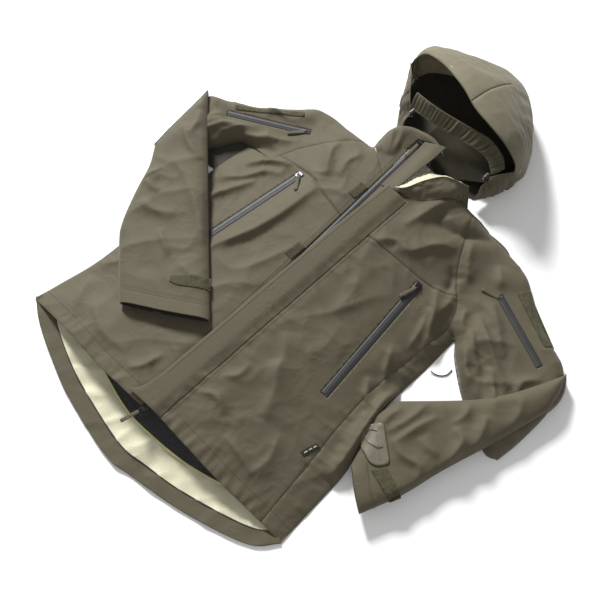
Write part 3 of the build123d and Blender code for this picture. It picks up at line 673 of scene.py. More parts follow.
CALM_LINES = [
    smooth([ZIP_TOP, ZIP_BOTTOM], 40.0),
    smooth([(148, 161), (177, -81)], 30.0),
    smooth([(-148, 161), (-177, -81)], 30.0),
    smooth([(258, 256), (380, 214)], 30.0),
    smooth([(-211, 241), (-338, 164)], 30.0),
    smooth([(258, 256), (222, 244)], 12.0),
    smooth([(-211, 241), (-243, 214)], 12.0),
]


def ripple(x, y, size, seed, stretch=1.0, turn=0.0):
    """Soft uneven noise from -1 to 1, longer along one direction. Each seed gives other waves."""
    c, s = math.cos(turn), math.sin(turn)
    u = (x * c + y * s) / (size * stretch)
    v = (y * c - x * s) / size
    return np.array([noise.noise(Vector((a, b, seed))) for a, b in zip(u, v)])


FOLD_STRENGTH = 1.75


def raised_folds(x, y, folds):
    """Ridges along curves that fade at their ends, each side with its own width."""
    xy = np.column_stack([x, y])
    z = np.zeros(len(x))
    for line, height, wide_left, wide_right in folds:
        path = smooth(line, 9.0)
        long = float(np.sum(np.linalg.norm(np.diff(path, axis=0), axis=1)))
        reach = 3 * max(wide_left, wide_right)
        near = (xy >= path.min(0) - reach).all(axis=1) & (xy <= path.max(0) + reach).all(axis=1)
        if not near.any():
            continue
        gap, where, side = along(xy[near], path)
        wide = np.where(side > 0, wide_left, wide_right)
        fade = np.sin(np.pi * np.clip(where / long, 0, 1)) ** 0.7
        z[near] += FOLD_STRENGTH * height * fade * np.exp(-((gap / wide) ** 1.35))
    return z


def puckers(x, y):
    """Short gathers across the seams."""
    xy = np.column_stack([x, y])
    z = np.zeros(len(x))
    for index, (line, height, reach) in enumerate(PUCKERED_SEAMS):
        gap, where = along(xy, line)[:2]
        near = gap < 2.5 * reach
        if not near.any():
            continue
        waves = ripple(where[near], gap[near] * 0.3, 11.0, 20.0 + index)
        z[near] += height * waves * np.exp(-((gap[near] / reach) ** 2)) * 2.0
    return z


def creases(x, y, size, seed, stretch, turn):
    """Thin crooked ridges between flat fields, as stiff cloth crumples."""
    bend = ripple(x, y, size * 1.7, seed + 5)
    field = ripple(x + 14 * bend, y - 14 * bend, size, seed, stretch, turn)
    return (1 - np.clip(np.abs(field) * 2.2, 0, 1)) ** 2


def crumple(x, y, amount=1.0):
    """Broad waves, and three sizes of creases that come and go."""
    z = 2.0 * ripple(x, y, 85, 3.1) + 1.3 * ripple(x, y, 34, 7.7)
    z += 4.4 * creases(x, y, 75, 11.3, 1.8, 0.9) * (0.5 + ripple(x, y, 120, 2.2))
    z += 2.6 * creases(x, y, 42, 15.9, 1.6, -0.5) * (0.5 + ripple(x, y, 90, 4.2))
    z += 1.1 * creases(x, y, 24, 19.3, 1.5, 0.3) * np.clip(0.4 + ripple(x, y, 70, 6.1) * 1.6, 0, 1)
    return z * amount


def calm(x, y):
    """Near 0 along the zips, where the cloth lies flat, and 1 away from them."""
    xy = np.column_stack([x, y])
    gap = np.min([away(xy, line, False) for line in CALM_LINES], axis=0)
    return ease(gap, 7.0, 30.0)


SIDE_LIP = ([(282, -176), (271, -113), (259, -66), (250, -13), (254, 16)], 20.0, 12, 22)


def lie(x, y):
    """Height of the cloth of the front and the upper arms."""
    x = np.asarray(x, float)
    y = np.asarray(y, float)
    z = base(x, y)
    arms = ease(np.abs(x), 215, 245) * ease(y, 20, 60)
    moved = crumple(x, y) * (1 + 0.9 * arms)
    moved = moved + raised_folds(x, y, TORSO_FOLDS + ARM_FOLDS) + puckers(x, y)
    z = z + moved * calm(x, y) * np.clip((z - 1.0) / 7.0, 0.0, 1.0)
    lip = raised_folds(x, y, [SIDE_LIP])
    return np.maximum(z + lip, 0.8)


# ---------------------------------------------------------------- hem drawcord

cord_data = bpy.data.curves.new("hem_cord", "CURVE")
cord_data.dimensions = "3D"
CORD_THICK = 0.002      # metres, as is the route
CORD_ROUTE = [
    (0.2635, 0.080, 0.0026),
    (0.2705, 0.081, 0.0015),
    (0.278, 0.0845, 0.00105),
    (0.2845, 0.091, 0.00105),
    (0.2875, 0.0995, 0.00105),
    (0.286, 0.108, 0.00105),
]
spline = cord_data.splines.new("NURBS")
spline.points.add(len(CORD_ROUTE) - 1)
for point, place in zip(spline.points, CORD_ROUTE):
    point.co = (*place, 1.0)
spline.order_u = 3
spline.use_endpoint_u = True
cord_data.bevel_depth = CORD_THICK / 2
cord_data.bevel_resolution = 4
cord_data.use_fill_caps = True
cord_data.materials.append(cord_black)
hem_cord = link(bpy.data.objects.new("hem_cord", cord_data))
finish_piece(hem_cord, "torso", ["hem_drawcord"])

# ---------------------------------------------------------------- torso panels

ZIP_HALF = 6.0
GROOVE = 1.0
GROOVE_WIDE = 2.6


def declare(line, fullness=1.0):
    """Work out a laid piece's cut size from its plan outline and how much of it stands up; nothing of it is
    kept.
    """
    wide, high = (line.max(0) - line.min(0)) * MM
    area = area_of(line) * MM * MM * fullness
    high = high * fullness
    if area < 0.4 * wide * high:
        wide = float(np.sum(np.linalg.norm(line - np.roll(line, 1, axis=0), axis=1))) / 2 * MM
        high = area / wide * 1.05


SHOULDER_BEND = ("left_upper_sleeve", (0.196, 0.240, 0.017), (0.252, 0.240, 0.017))


def grooved(height):
    """The same height field, with a groove along the sheet's edge."""
    return lambda x, y, edge: height(x, y) - GROOVE * np.exp(-((edge / GROOVE_WIDE) ** 2))


def front_panel(name, line, body, nodes, holes=(), bend=None):
    """One panel of shell cloth on the front, grooved along its seams."""
    piece = laid_sheet(name, line, grooved(lie), [shell, lining], holes=holes)
    finish_piece(piece, body, nodes, bend)
    declare(line)
    return piece


def slit(start, end, half, spare=6.0):
    """A rounded slot in plan around a zip."""
    start, end = np.array(start, float), np.array(end, float)
    u = (end - start) / np.linalg.norm(end - start)
    v = np.array([-u[1], u[0]])
    start, end = start - u * spare, end + u * spare
    sides = [start + v * half, end + v * half, end - v * half, start - v * half]
    return loop(*[[tuple(a), tuple(b)] for a, b in zip(sides, sides[1:] + sides[:1])])


POCKET_HALF = 7.2
SLEEVE_HALF = 6.2
LEFT_POCKET = ((148.0, 161.0), (177.0, -81.0))
RIGHT_POCKET = ((-148.0, 161.0), (-177.0, -81.0))
LEFT_ARM_ZIP = ((258.0, 256.0), (380.0, 214.0))
RIGHT_ARM_ZIP = ((-211.0, 241.0), (-338.0, 164.0))
left_pocket_slit = slit(*LEFT_POCKET, POCKET_HALF)
right_pocket_slit = slit(*RIGHT_POCKET, POCKET_HALF)
left_arm_slit = slit(*LEFT_ARM_ZIP, SLEEVE_HALF)
right_arm_slit = slit(*RIGHT_ARM_ZIP, SLEEVE_HALF)

ZIP_RIGHT_LOW = [(zip_x(-318) - ZIP_HALF, -318), (zip_x(152) - ZIP_HALF, 152)]
ZIP_LEFT_LOW = [(zip_x(152) + ZIP_HALF, 152), (zip_x(-309) + ZIP_HALF, -309)]
YOKE_LEFT = [(zip_x(152) + ZIP_HALF, 152), (70, 164), (132, 172), (179, 183), (206, 202)]
YOKE_RIGHT = [(zip_x(152) - ZIP_HALF, 152), (-91, 162), (-125, 172), (-165, 172), (-208, 166)]
SIDE_SEAM_LEFT = [(258, -300), (246, -204), (232, -110), (224, -20), (228, 60), (231, 109), (233, 150)]
SIDE_LEFT = [
    (302, -298), (298, -240), (295, -196), (290, -142), (268, -70), (257, -14), (256, 81), (253, 150),
]
ARMHOLE_LEFT = [(112, 341), (140, 290), (165, 246), (190, 216), (206, 202)]
ARMHOLE_LOW = [(206, 202), (222, 180), (233, 150)]
RAGLAN_LEFT = [(112, 341), (58, 302), (14, 250)]
ARMHOLE_RIGHT = [(-208, 166), (-188, 214), (-150, 262), (-107, 304)]

front_panel(
    "front_left_cloth",
    loop(
        [(zip_x(-309) + ZIP_HALF, -309), (90, -309), (171, -307), (258, -300)],
        SIDE_SEAM_LEFT,
        ARMHOLE_LOW[::-1],
        YOKE_LEFT[::-1],
        ZIP_LEFT_LOW,
    ),
    "torso",
    ["front_left"],
    [left_pocket_slit],
)
front_panel(
    "side_left_cloth",
    loop([(258, -300), (302, -298)], SIDE_LEFT, [(253, 150), (233, 150)], SIDE_SEAM_LEFT[::-1]),
    "torso",
    ["side_panel_left"],
)
front_panel(
    "yoke_left_cloth",
    loop(YOKE_LEFT, ARMHOLE_LEFT[::-1], RAGLAN_LEFT, [(14, 250), (zip_x(250) + ZIP_HALF, 250)]),
    "torso",
    ["yoke_left"],
)
front_panel(
    "front_right_cloth",
    loop(
        [(-296, -326), (-217, -324), (-120, -325), (-60, -322), (zip_x(-318) - ZIP_HALF, -318)],
        ZIP_RIGHT_LOW,
        YOKE_RIGHT,
        [(-208, 166), (-215, 152), (-272, 150)],
        [(-272, 150), (-279, 63), (-277, -155), (-279, -212), (-291, -287), (-296, -326)],
    ),
    "torso",
    ["front_right", "side_panel_right"],
    [right_pocket_slit],
)
front_panel(
    "yoke_right_cloth",
    loop(YOKE_RIGHT, ARMHOLE_RIGHT, [(-107, 304), (zip_x(262) - ZIP_HALF, 262)]),
    "torso",
    ["yoke_right"],
)
left_arm_line = loop(
    ARMHOLE_LEFT,
    ARMHOLE_LOW,
    [(233, 150), (254, 148), (276, 124), (334, 83), (416, 44), (444, 50)],
    [(444, 50), (448, 97), (447, 165), (436, 205), (425, 235)],
    [(425, 235), (402, 251), (342, 272), (254, 326), (181, 334), (112, 341)],
)
front_panel(
    "sleeve_left_cloth",
    left_arm_line,
    "torso",
    ["sleeve_left_upper", "shoulder_left"],
    [left_arm_slit],
    bend=SHOULDER_BEND,
)
right_arm_line = loop(
    ARMHOLE_RIGHT[::-1],
    [(-208, 166), (-215, 152), (-282, 148), (-312, 100), (-345, 45), (-378, 17)],
    [(-378, 17), (-388, 110), (-400, 165)],
    [(-400, 165), (-360, 190), (-307, 229), (-268, 264), (-228, 298), (-107, 304)],
)
front_panel(
    "sleeve_right_cloth",
    right_arm_line,
    "torso",
    ["sleeve_right_upper", "shoulder_right"],
    [right_arm_slit],
)


def under_layer(name, line, body, lift, material, bend=None):
    """The side that lies on the floor: one sheet, a little wavy."""

    def height(x, y, edge):
        return np.maximum(lift + 0.5 * ripple(x, y, 40, 31.0) * ease(edge, 0, 15), 0.4)

    piece = laid_sheet(name, line, height, [material], 0.6, step=8.0, offset=0.0)
    finish_piece(piece, body, (), bend)
    declare(line)
    return piece


# ---------------------------------------------------------------- back, facing and lining

BACK_HEM = [
    (-297, -323), (-250, -350), (-172, -378), (-109, -395), (3, -411),
    (60, -402), (162, -378), (266, -338), (303, -298),
]
FACING_EDGE = [
    (-284, -300), (-232, -327), (-172, -350), (-109, -366), (3, -382),
    (60, -374), (132, -359), (239, -322), (288, -290),
]
MESH_EDGE = [(-190, -300), (-92, -326), (-29, -337), (20, -336), (92, -327), (158, -308), (205, -285)]


def back_height(x, y):
    """The back lies on the floor, and its hem lifts a little in waves."""
    hem = smooth(BACK_HEM, 12.0)
    gap, where = along(np.column_stack([x, y]), hem)[:2]
    near = np.exp(-((gap / 30) ** 2))
    return 1.9 + near * (1.6 + 1.8 * ripple(where, gap * 0.4, 36, 41.0)) + 0.7 * ripple(x, y, 30, 43.0)


def back_sheet(name, line, lift, materials, nodes, wrinkle=0.0, thick=0.9, step=6.0):
    """A sheet of the torso's back, which lies on the floor or on the sheet below it."""

    def height(x, y, edge):
        z = back_height(x, y) + lift
        if wrinkle:
            z += wrinkle * (1.6 * creases(x, y, 46, 51.0, 2.0, 1.2) + 1.3 * ripple(x, y, 26, 52.0))
        return np.maximum(z, 0.7)

    piece = laid_sheet(name, line, height, materials, thick, step=step)
    finish_piece(piece, "torso", nodes)
    declare(line)
    return piece


back_sheet(
    "back_cloth",
    loop(
        BACK_HEM,
        SIDE_LEFT,
        [(253, 150), (219, 152), (219, 326), (112, 341)],
        [(112, 341), (0, 330), (-107, 305)],
        [(-107, 305), (-219, 288), (-219, 152), (-272, 150)],
        [(-272, 150), (-279, 63), (-277, -155), (-279, -212), (-291, -287), (-297, -323)],
    ),
    -1.2,
    [shell],
    ["back_panel"],
)
FACING = loop(BACK_HEM, FACING_EDGE[::-1])
back_sheet("hem_facing_cloth", FACING, 0.6, [shell], ["hem_facing"], 0.8)
back_sheet(
    "back_lining_cloth",
    loop(
        FACING_EDGE,
        [(288, -290), (280, -180), (240, 0), (214, 150), (200, 290), (95, 328)],
        [(95, 328), (0, 318), (-95, 300)],
        [(-95, 300), (-200, 275), (-214, 150), (-260, 0), (-270, -180), (-284, -300)],
    ),
    0.2,
    [lining],
    ["back_lining"],
    1.6,
    step=5.0,
)
back_sheet(
    "mesh_cloth_edge",
    loop(MESH_EDGE, [(205, -285), (200, 120)], [(200, 120), (-200, 120)], [(-200, 120), (-190, -300)]),
    3.2,
    [mesh_cloth],
    ["mesh_liner"],
    1.0,
)


def strip(name, line, wide, high, height, material, body, nodes=()):
    """A narrow raised tape or piping along a plan curve, with a rounded top."""
    path = smooth(line, 3.0)
    ahead = np.gradient(path, axis=0)
    ahead /= np.linalg.norm(ahead, axis=1, keepdims=True)
    across = np.column_stack([-ahead[:, 1], ahead[:, 0]])
    section = [(-1.0, 0.0), (-0.9, 0.7), (-0.45, 1.0), (0.0, 1.0), (0.45, 1.0), (0.9, 0.7), (1.0, 0.0)]
    z = height(path[:, 0], path[:, 1])
    rows = []
    for out, up in section:
        spots = path + across * out * wide / 2
        rows.append(np.column_stack([spots, z + up * high]))
    piece = grid_mesh(np.array(rows), name, [material])
    return finish_piece(piece, body, nodes)


def above(height, gap):
    """The same height field, raised by a gap."""
    return lambda x, y: height(x, y) + gap


strip("facing_piping", FACING_EDGE, 2.0, 1.6, above(back_height, 1.0), dark_piping, "torso")
strip("mesh_piping", MESH_EDGE, 3.2, 1.4, above(back_height, 4.4), piping, "torso")

# ---------------------------------------------------------------- zips

SLIDER_LOW_Y = -323.0   # the bottom slider
SLIDER_LOW = 39.9
SLIDER_CLIMB = 0.0276   # height gained along the zip


def slider_path(y):
    """Height of the straight line the main zip's sliders run along."""
    return SLIDER_LOW + SLIDER_CLIMB * (y - SLIDER_LOW_Y)


def no_limit(y):
    """For a zip with no sliders' path above it."""
    return np.full(np.shape(y), np.inf)


def zip_piece(name, start, end, half, drop, body, node, spare=6.0, top=no_limit):
    """A closed laminated zip: two tapes that meet over the coil, following the cloth's arch.

    It lies a drop below the cloth and runs on past both ends by the spare length.
    """
    start, end = np.array(start, float), np.array(end, float)
    u = (end - start) / np.linalg.norm(end - start)
    v = np.array([-u[1], u[0]])
    path = smooth([tuple(start - u * spare), tuple(end + u * spare)], 3.0)
    section = [
        (-1.0, -0.9), (-0.97, 0.0), (-0.55, 0.15), (-0.2, 0.35), (-0.1, 0.7), (-0.03, 0.45), (0.0, -0.3),
        (0.03, 0.45), (0.1, 0.7), (0.2, 0.35), (0.55, 0.15), (0.97, 0.0), (1.0, -0.9),
    ]
    rows = []
    for out, up in section:
        spots = path + v * out * half
        z = np.minimum(lie(spots[:, 0], spots[:, 1]), top(spots[:, 1])) - drop + up
        rows.append(np.column_stack([spots, z]))
    piece = grid_mesh(np.array(rows), name, [laminate])
    thicken(piece, 0.7)
    return finish_piece(piece, body, [node])


# Each short zip: its node, its ends, its half width and its body
SHORT_ZIPS = [
    ("pocket_zip_left", LEFT_POCKET, 7.0, "torso"),
    ("pocket_zip_right", RIGHT_POCKET, 7.0, "torso"),
    ("sleeve_zip_left", LEFT_ARM_ZIP, 6.0, "left_upper_sleeve"),
    ("sleeve_zip_right", RIGHT_ARM_ZIP, 6.0, "torso"),
]
zip_piece("main_zip", ZIP_TOP, ZIP_BOTTOM, 5.6, 0.2, "torso", "main_zip_tapes", -1.0, slider_path)
for node, (start, end), half, body in SHORT_ZIPS:
    zip_piece(f"{node}_tape", start, end, half, 0.1, body, node, 5.6)

TAB_START = 4.4         # from the pin to the webbing tab
TAB_LONG = 33.0
TAB_WIDE = 6.2
TAB_THICK = 1.9
TAB_CLEAR = 2.2         # height of the tab's end over the cloth


def pull(name, pin, direction, swing, rise):
    """A webbing tab on a slider: a folded strip with a stitched end and a wire link."""
    u = Vector((direction[0], direction[1], 0)).normalized()
    u.rotate(Matrix.Rotation(math.radians(swing), 3, "Z"))
    tip = Vector(pin) + u * (TAB_START + TAB_LONG)
    under_tip = float(lie([tip.x], [tip.y])[0])
    u.z = max(rise, (under_tip + TAB_CLEAR - pin[2]) / (TAB_START + TAB_LONG))
    u.normalize()
    v = Vector((-u.y, u.x, 0)).normalized()
    w = u.cross(v)
    verts, faces = [], []
    stations = [
        (0.0, 0.55, 0.9), (1.5, 0.95, 1.0), (4.0, 1.0, 1.0), (5.0, 0.97, 0.7), (16.0, 1.0, 0.75),
        (26.0, 0.98, 0.72), (27.0, 1.03, 1.05), (31.0, 1.04, 1.1), (TAB_LONG, 0.92, 0.8),
    ]
    ring = [(-1, -0.6), (-0.8, -1), (0.8, -1), (1, -0.6), (1, 0.6), (0.8, 1), (-0.8, 1), (-1, 0.6)]
    for where, wide, thick in stations:
        sag = 0.5 * math.sin(where / TAB_LONG * math.pi)
        centre = Vector(pin) + u * (TAB_START + where) + w * sag
        for a, b in ring:
            spot = centre + v * a * wide * TAB_WIDE / 2 + w * b * thick * TAB_THICK / 2
            verts.append(tuple(spot))
    count = len(ring)
    for i in range(len(stations) - 1):
        for j in range(count):
            a, b = i * count + j, i * count + (j + 1) % count
            faces.append((a, b, b + count, a + count))
    faces.append(tuple(reversed(range(count))))
    faces.append(tuple(range(len(verts) - count, len(verts))))
    piece = make(f"pull_tab_{name}", verts, faces, [shell])
    finish_piece(piece, f"pull_{name}", [f"pull_{name}"])
    link_data = bpy.data.curves.new(f"pull_link_{name}", "CURVE")
    link_data.dimensions = "3D"
    wire = link_data.splines.new("POLY")
    corners = [(-0.3, -1.6), (3.0, -1.5), (6.2, -1.9), (6.2, 1.9), (3.0, 1.5), (-0.3, 1.6)]
    wire.points.add(len(corners) - 1)
    for point, (a, b) in zip(wire.points, corners):
        point.co = (*((Vector(pin) + u * a + v * b) * MM), 1.0)
    wire.use_cyclic_u = True
    link_data.bevel_depth = 0.0005
    link_data.bevel_resolution = 2
    link_data.materials.append(black_metal)
    loop_piece = link(bpy.data.objects.new(f"pull_link_{name}", link_data))
    finish_piece(loop_piece, f"pull_{name}")


def towards(pair):
    """The direction from the first to the second point of a pair."""
    return (pair[1][0] - pair[0][0], pair[1][1] - pair[0][1])


DOWN_ZIP = (ZIP_BOTTOM[0] - ZIP_TOP[0], ZIP_BOTTOM[1] - ZIP_TOP[1])
UP_LEFT_ARM = (LEFT_ARM_ZIP[0][0] - LEFT_ARM_ZIP[1][0], LEFT_ARM_ZIP[0][1] - LEFT_ARM_ZIP[1][1])
# Each pull: its slider, its pin, the direction it is turned from, its turn in degrees and its least rise
PULLS = [
    ("main_top", (-39.6, 352.9, 63.5), DOWN_ZIP, 0, -0.03),
    ("main_bottom", (-2.4, -323.1, 44.8), DOWN_ZIP, -16, -0.03),
    ("pocket_left", (148.9, 161, 42.2), towards(LEFT_POCKET), -20, 0.0),
    ("pocket_right", (-148.9, 161, 42.2), towards(RIGHT_POCKET), 45, 0.0),
    ("sleeve_left", (258, 256, 20.0), UP_LEFT_ARM, 37, 0.0),
    ("sleeve_right", (-211.1, 241, 23.0), towards(RIGHT_ARM_ZIP), 20, 0.0),
]
for name, pin, direction, swing, rise in PULLS:
    pull(name, pin, direction, swing, rise)

# ---------------------------------------------------------------- storm flap and stitching

FLAP_ROOT = 27.0
FLAP_TOP = 252.0
FLAP_CLEAR = 6.9        # height of the flap over the arch, to pass over the sliders
FLAP_RISE_WIDE = 20     # width in which it gets there from its seam
FLAP_EDGE = [(-19, 252), (-23, 150), (-25, 0), (-25, -170), (-26, -255)]
FLAP_CORNER = [(-26, -255), (-30, -292), (-43, -315)]


def flap_height(x, y):
    """The flap rises from its seam to pass over the zip and its sliders."""
    out = ease(FLAP_ROOT - x, 0, FLAP_RISE_WIDE)
    over = arch(x, y) + FLAP_CLEAR + 0.5 * ripple(x, y, 60, 61.0)
    return (lie(x, y) + CLOTH) * (1 - out) + over * out


flap_line = loop(
    [(FLAP_ROOT, -309), (FLAP_ROOT, FLAP_TOP)],
    [(FLAP_ROOT, FLAP_TOP), (-19, FLAP_TOP)],
    FLAP_EDGE,
    FLAP_CORNER,
    [(-43, -315), (-12, -312), (FLAP_ROOT, -309)],
)


def flap_cloth_height(x, y, edge):
    """The flap with its edge turned down."""
    return flap_height(x, y) - 0.5 * np.exp(-((edge / 2.0) ** 2))


flap = laid_sheet("storm_flap_cloth", flap_line, flap_cloth_height, [shell], 1.6)
finish_piece(flap, "storm_flap", ["storm_flap"])
declare(flap_line)


def stitches(name, line, height, body, lift=0.25, pitch=3.6, long=2.5, wide=0.6):
    """A row of thread stitches along a plan curve."""
    path = smooth(line, 2.0)
    steps = np.linalg.norm(np.diff(path, axis=0), axis=1)
    where = np.concatenate([[0], np.cumsum(steps)])
    starts = np.arange(1.0, where[-1] - long, pitch)
    verts, faces = [], []
    ends = np.concatenate([starts, starts + long])
    x = np.interp(ends, where, path[:, 0])
    y = np.interp(ends, where, path[:, 1])
    z = height(x, y) + lift
    count = len(starts)
    for i in range(count):
        a = np.array([x[i], y[i], z[i]])
        b = np.array([x[i + count], y[i + count], z[i + count]])
        side = np.array([-(b - a)[1], (b - a)[0], 0.0])
        side *= wide / 2 / max(float(np.linalg.norm(side)), 1e-9)
        up = np.array([0, 0, 0.35])
        base = len(verts)
        verts += [a - side, a + side, b + side, b - side, a + up, b + up]
        faces += [
            (base, base + 3, base + 5, base + 4),
            (base + 1, base + 4, base + 5, base + 2),
            (base, base + 4, base + 1),
            (base + 3, base + 2, base + 5),
            (base, base + 1, base + 2, base + 3),
        ]
    piece = make(name, verts, faces, [thread])
    return finish_piece(piece, body)


def beside(line, gap):
    """The same curve moved sideways, to its left for a positive gap."""
    path = smooth(line, 12.0)
    ahead = np.gradient(path, axis=0)
    ahead /= np.linalg.norm(ahead, axis=1, keepdims=True)
    return [tuple(p) for p in path + np.column_stack([-ahead[:, 1], ahead[:, 0]]) * gap]


HEM_LEFT_LINE = [(40, -309), (90, -309), (171, -307), (258, -300), (300, -298)]
HEM_RIGHT_LINE = [(-293, -326), (-217, -324), (-120, -325), (-60, -322), (-10, -318)]
HEM_DEEP = 25           # from the hem's edge to its stitches
SEAM_GAP = 3            # from a seam to the stitches beside it
TORSO_STITCHES = {
    "flap_root": [(33, -305), (33, 258)],
    "hem_left": beside(HEM_LEFT_LINE, HEM_DEEP),
    "hem_right": beside(HEM_RIGHT_LINE, HEM_DEEP),
    "yoke_left": beside(YOKE_LEFT, SEAM_GAP),
    "yoke_right": beside(YOKE_RIGHT, -SEAM_GAP),
    "armhole_left": beside(ARMHOLE_LEFT, -SEAM_GAP),
    "side_seam": beside(SIDE_SEAM_LEFT, SEAM_GAP),
    "placket": [(zip_x(-300) - 14, -300), (zip_x(340) - 14, 340)],
}
stitches("flap_edge_stitches", beside(FLAP_EDGE, 6), flap_height, "storm_flap")
for name, line in TORSO_STITCHES.items():
    stitches(f"{name}_stitches", line, lie, "torso")

# ---------------------------------------------------------------- hook patches and label

random_pile = np.random.default_rng(7)


def pile_patch(name, line, height, thick, material, body, nodes):
    """A patch of hook or loop tape with an uneven pile."""

    def pile_height(x, y, edge):
        tufts = random_pile.uniform(-0.35, 0.35, len(x)) * (edge > 0.6)
        return height(x, y) + thick * ease(edge, -0.4, 1.0) + tufts

    piece = laid_sheet(name, line, pile_height, [material], thick, step=1.9)
    return finish_piece(piece, body, nodes)


def rounded(corners, radius=3.0):
    """A closed outline with rounded corners."""
    runs = []
    corners = [np.array(c, float) for c in corners]
    for before, here, after in zip(corners[-1:] + corners[:-1], corners, corners[1:] + corners[:1]):
        a = here + (before - here) / np.linalg.norm(before - here) * radius
        b = here + (after - here) / np.linalg.norm(after - here) * radius
        middle = here + ((a + b) / 2 - here) * 0.55
        runs.append([tuple(a), tuple(middle), tuple(b)])
    return loop(*runs)


HOOK_LONG = 33.0
HOOK_WIDE = 17.0
HOOK_PLACES = (50, 209, 345)    # the middles of the patches, along the jacket
HOOK_FROM_ZIP = 8
for index, y in enumerate(HOOK_PLACES):
    right_edge = zip_x(y) - HOOK_FROM_ZIP
    corners = [
        (right_edge, y - HOOK_LONG / 2),
        (right_edge, y + HOOK_LONG / 2),
        (right_edge - HOOK_WIDE, y + HOOK_LONG / 2),
        (right_edge - HOOK_WIDE, y - HOOK_LONG / 2),
    ]
    nodes = ["hook_patches"] if index == 0 else []
    pile_patch(f"hook_patch_{index}", rounded(corners, 1.5), lie, 1.1, hook_pile, "torso", nodes)

RIGHT_ARM_LOOP = [(-347, 184), (-337, 176), (-236, 258), (-246, 266)]
LEFT_ARM_LOOP = [(270, 283), (281, 309), (380, 262), (368, 243)]
right_loop = rounded(RIGHT_ARM_LOOP, 3)
left_loop = rounded(LEFT_ARM_LOOP, 4)
pile_patch("arm_loop_right", right_loop, lie, 1.3, loop_pile, "torso", ["sleeve_patch_right"])
pile_patch("arm_loop_left", left_loop, lie, 1.3, loop_pile, "left_upper_sleeve", ["sleeve_patch_left"])

LABEL = [(219, -179), (229, -180), (236, -150), (226, -149)]
on_label = above(lie, 0.9)
label = laid_sheet(
    "label", rounded(LABEL, 0.8), lambda x, y, edge: on_label(x, y), [label_cloth], 0.8, step=2.5
)
finish_piece(label, "torso", ["woven_label"])
LABEL_MARKS = [
    [(224.6, -175), (226, -169)],
    [(226.6, -166.5), (228, -160.5)],
    [(228.6, -158), (230, -152.5)],
]
for index, mark in enumerate(LABEL_MARKS):
    strip(f"label_mark_{index}", mark, 2.6, 0.5, on_label, label_thread, "torso")

# ---------------------------------------------------------------- forearms

RIGHT_CREASE = [(-400, 165), (-340, 112), (-220, 10), (-120, -74), (-38, -143)]
RIGHT_MOUTH = [(-38, -143), (-107, -190), (-172, -230)]
RIGHT_OUTER = [(-172, -230), (-262, -160), (-293, -128), (-326, -70), (-350, -20), (-378, 17)]
RIGHT_FOLD_LINE = [(-378, 17), (-386, 60), (-392, 110), (-400, 165)]
LEFT_MOUTH = [(291, -134), (322, -158), (356, -180)]
LEFT_OUTER = [(356, -180), (381, -109), (397, -35), (425, 70), (446, 165)]
LEFT_FOLD_LINE = [(446, 165), (440, 200), (425, 233)]
LEFT_CREASE = [(425, 233), (396, 165), (372, 121), (341, 78), (266, -5)]
LEFT_INNER = [(266, -5), (261, -40), (264, -60), (291, -134)]

RIGHT_RISE = 0.0975
FOREARM_HIGH = 22.0
RIGHT_BED = 18.0
LEFT_BED = 17.0
FOREARM_ROLL = 26.0
EDGE_MIDDLE = 9.0       # height of a forearm's folded edges over its bed

RIGHT_FOREARM_FOLDS = [
    ([(-372, 80), (-330, 58), (-286, 50)], 4.0, 10, 6),
    ([(-330, -60), (-330, -36), (-322, -14)], 3.0, 6, 6),
    ([(-326, -44), (-306, -48), (-288, -46)], 3.5, 5, 9),
    ([(-322, 20), (-270, 4), (-210, -24), (-150, -58)], 5.0, 24, 12),
    ([(-232, -92), (-208, -104), (-176, -114)], 3.0, 8, 6),
    ([(-300, -86), (-262, -76), (-232, -52)], 3.5, 14, 8),
    ([(-370, 120), (-352, 96), (-344, 70)], 3.0, 6, 6),
    ([(-160, -112), (-120, -112), (-88, -98)], 2.5, 14, 9),
]
LEFT_FOREARM_FOLDS = [
    ([(332, 22), (322, -12), (312, -66)], 5.0, 12, 5),
    ([(302, 34), (304, -10), (292, -60)], 4.0, 8, 6),
    ([(352, 78), (360, 52), (356, 30)], 4.0, 9, 6),
    ([(384, 80), (402, 46), (408, 18)], 4.5, 7, 12),
    ([(362, 26), (384, 22), (392, 2), (400, -34)], 4.5, 9, 7),
    ([(306, -60), (338, -68), (368, -60), (386, -84)], 4.5, 8, 6),
    ([(336, -24), (358, -30), (378, -24)], 3.5, 10, 7),
    ([(400, 150), (418, 120), (424, 90)], 3.0, 9, 9),
    ([(282, -10), (276, -40), (280, -66)], 3.0, 6, 6),
]


def right_bed(x, y):
    """The right forearm lies across the front and climbs from the elbow to the cuff."""
    return RIGHT_BED + RIGHT_RISE * ((x + 400) * 0.98913 + (y - 165) * 0.14703)


def left_bed(x, y):
    """The left forearm is level."""
    return LEFT_BED + 0 * x


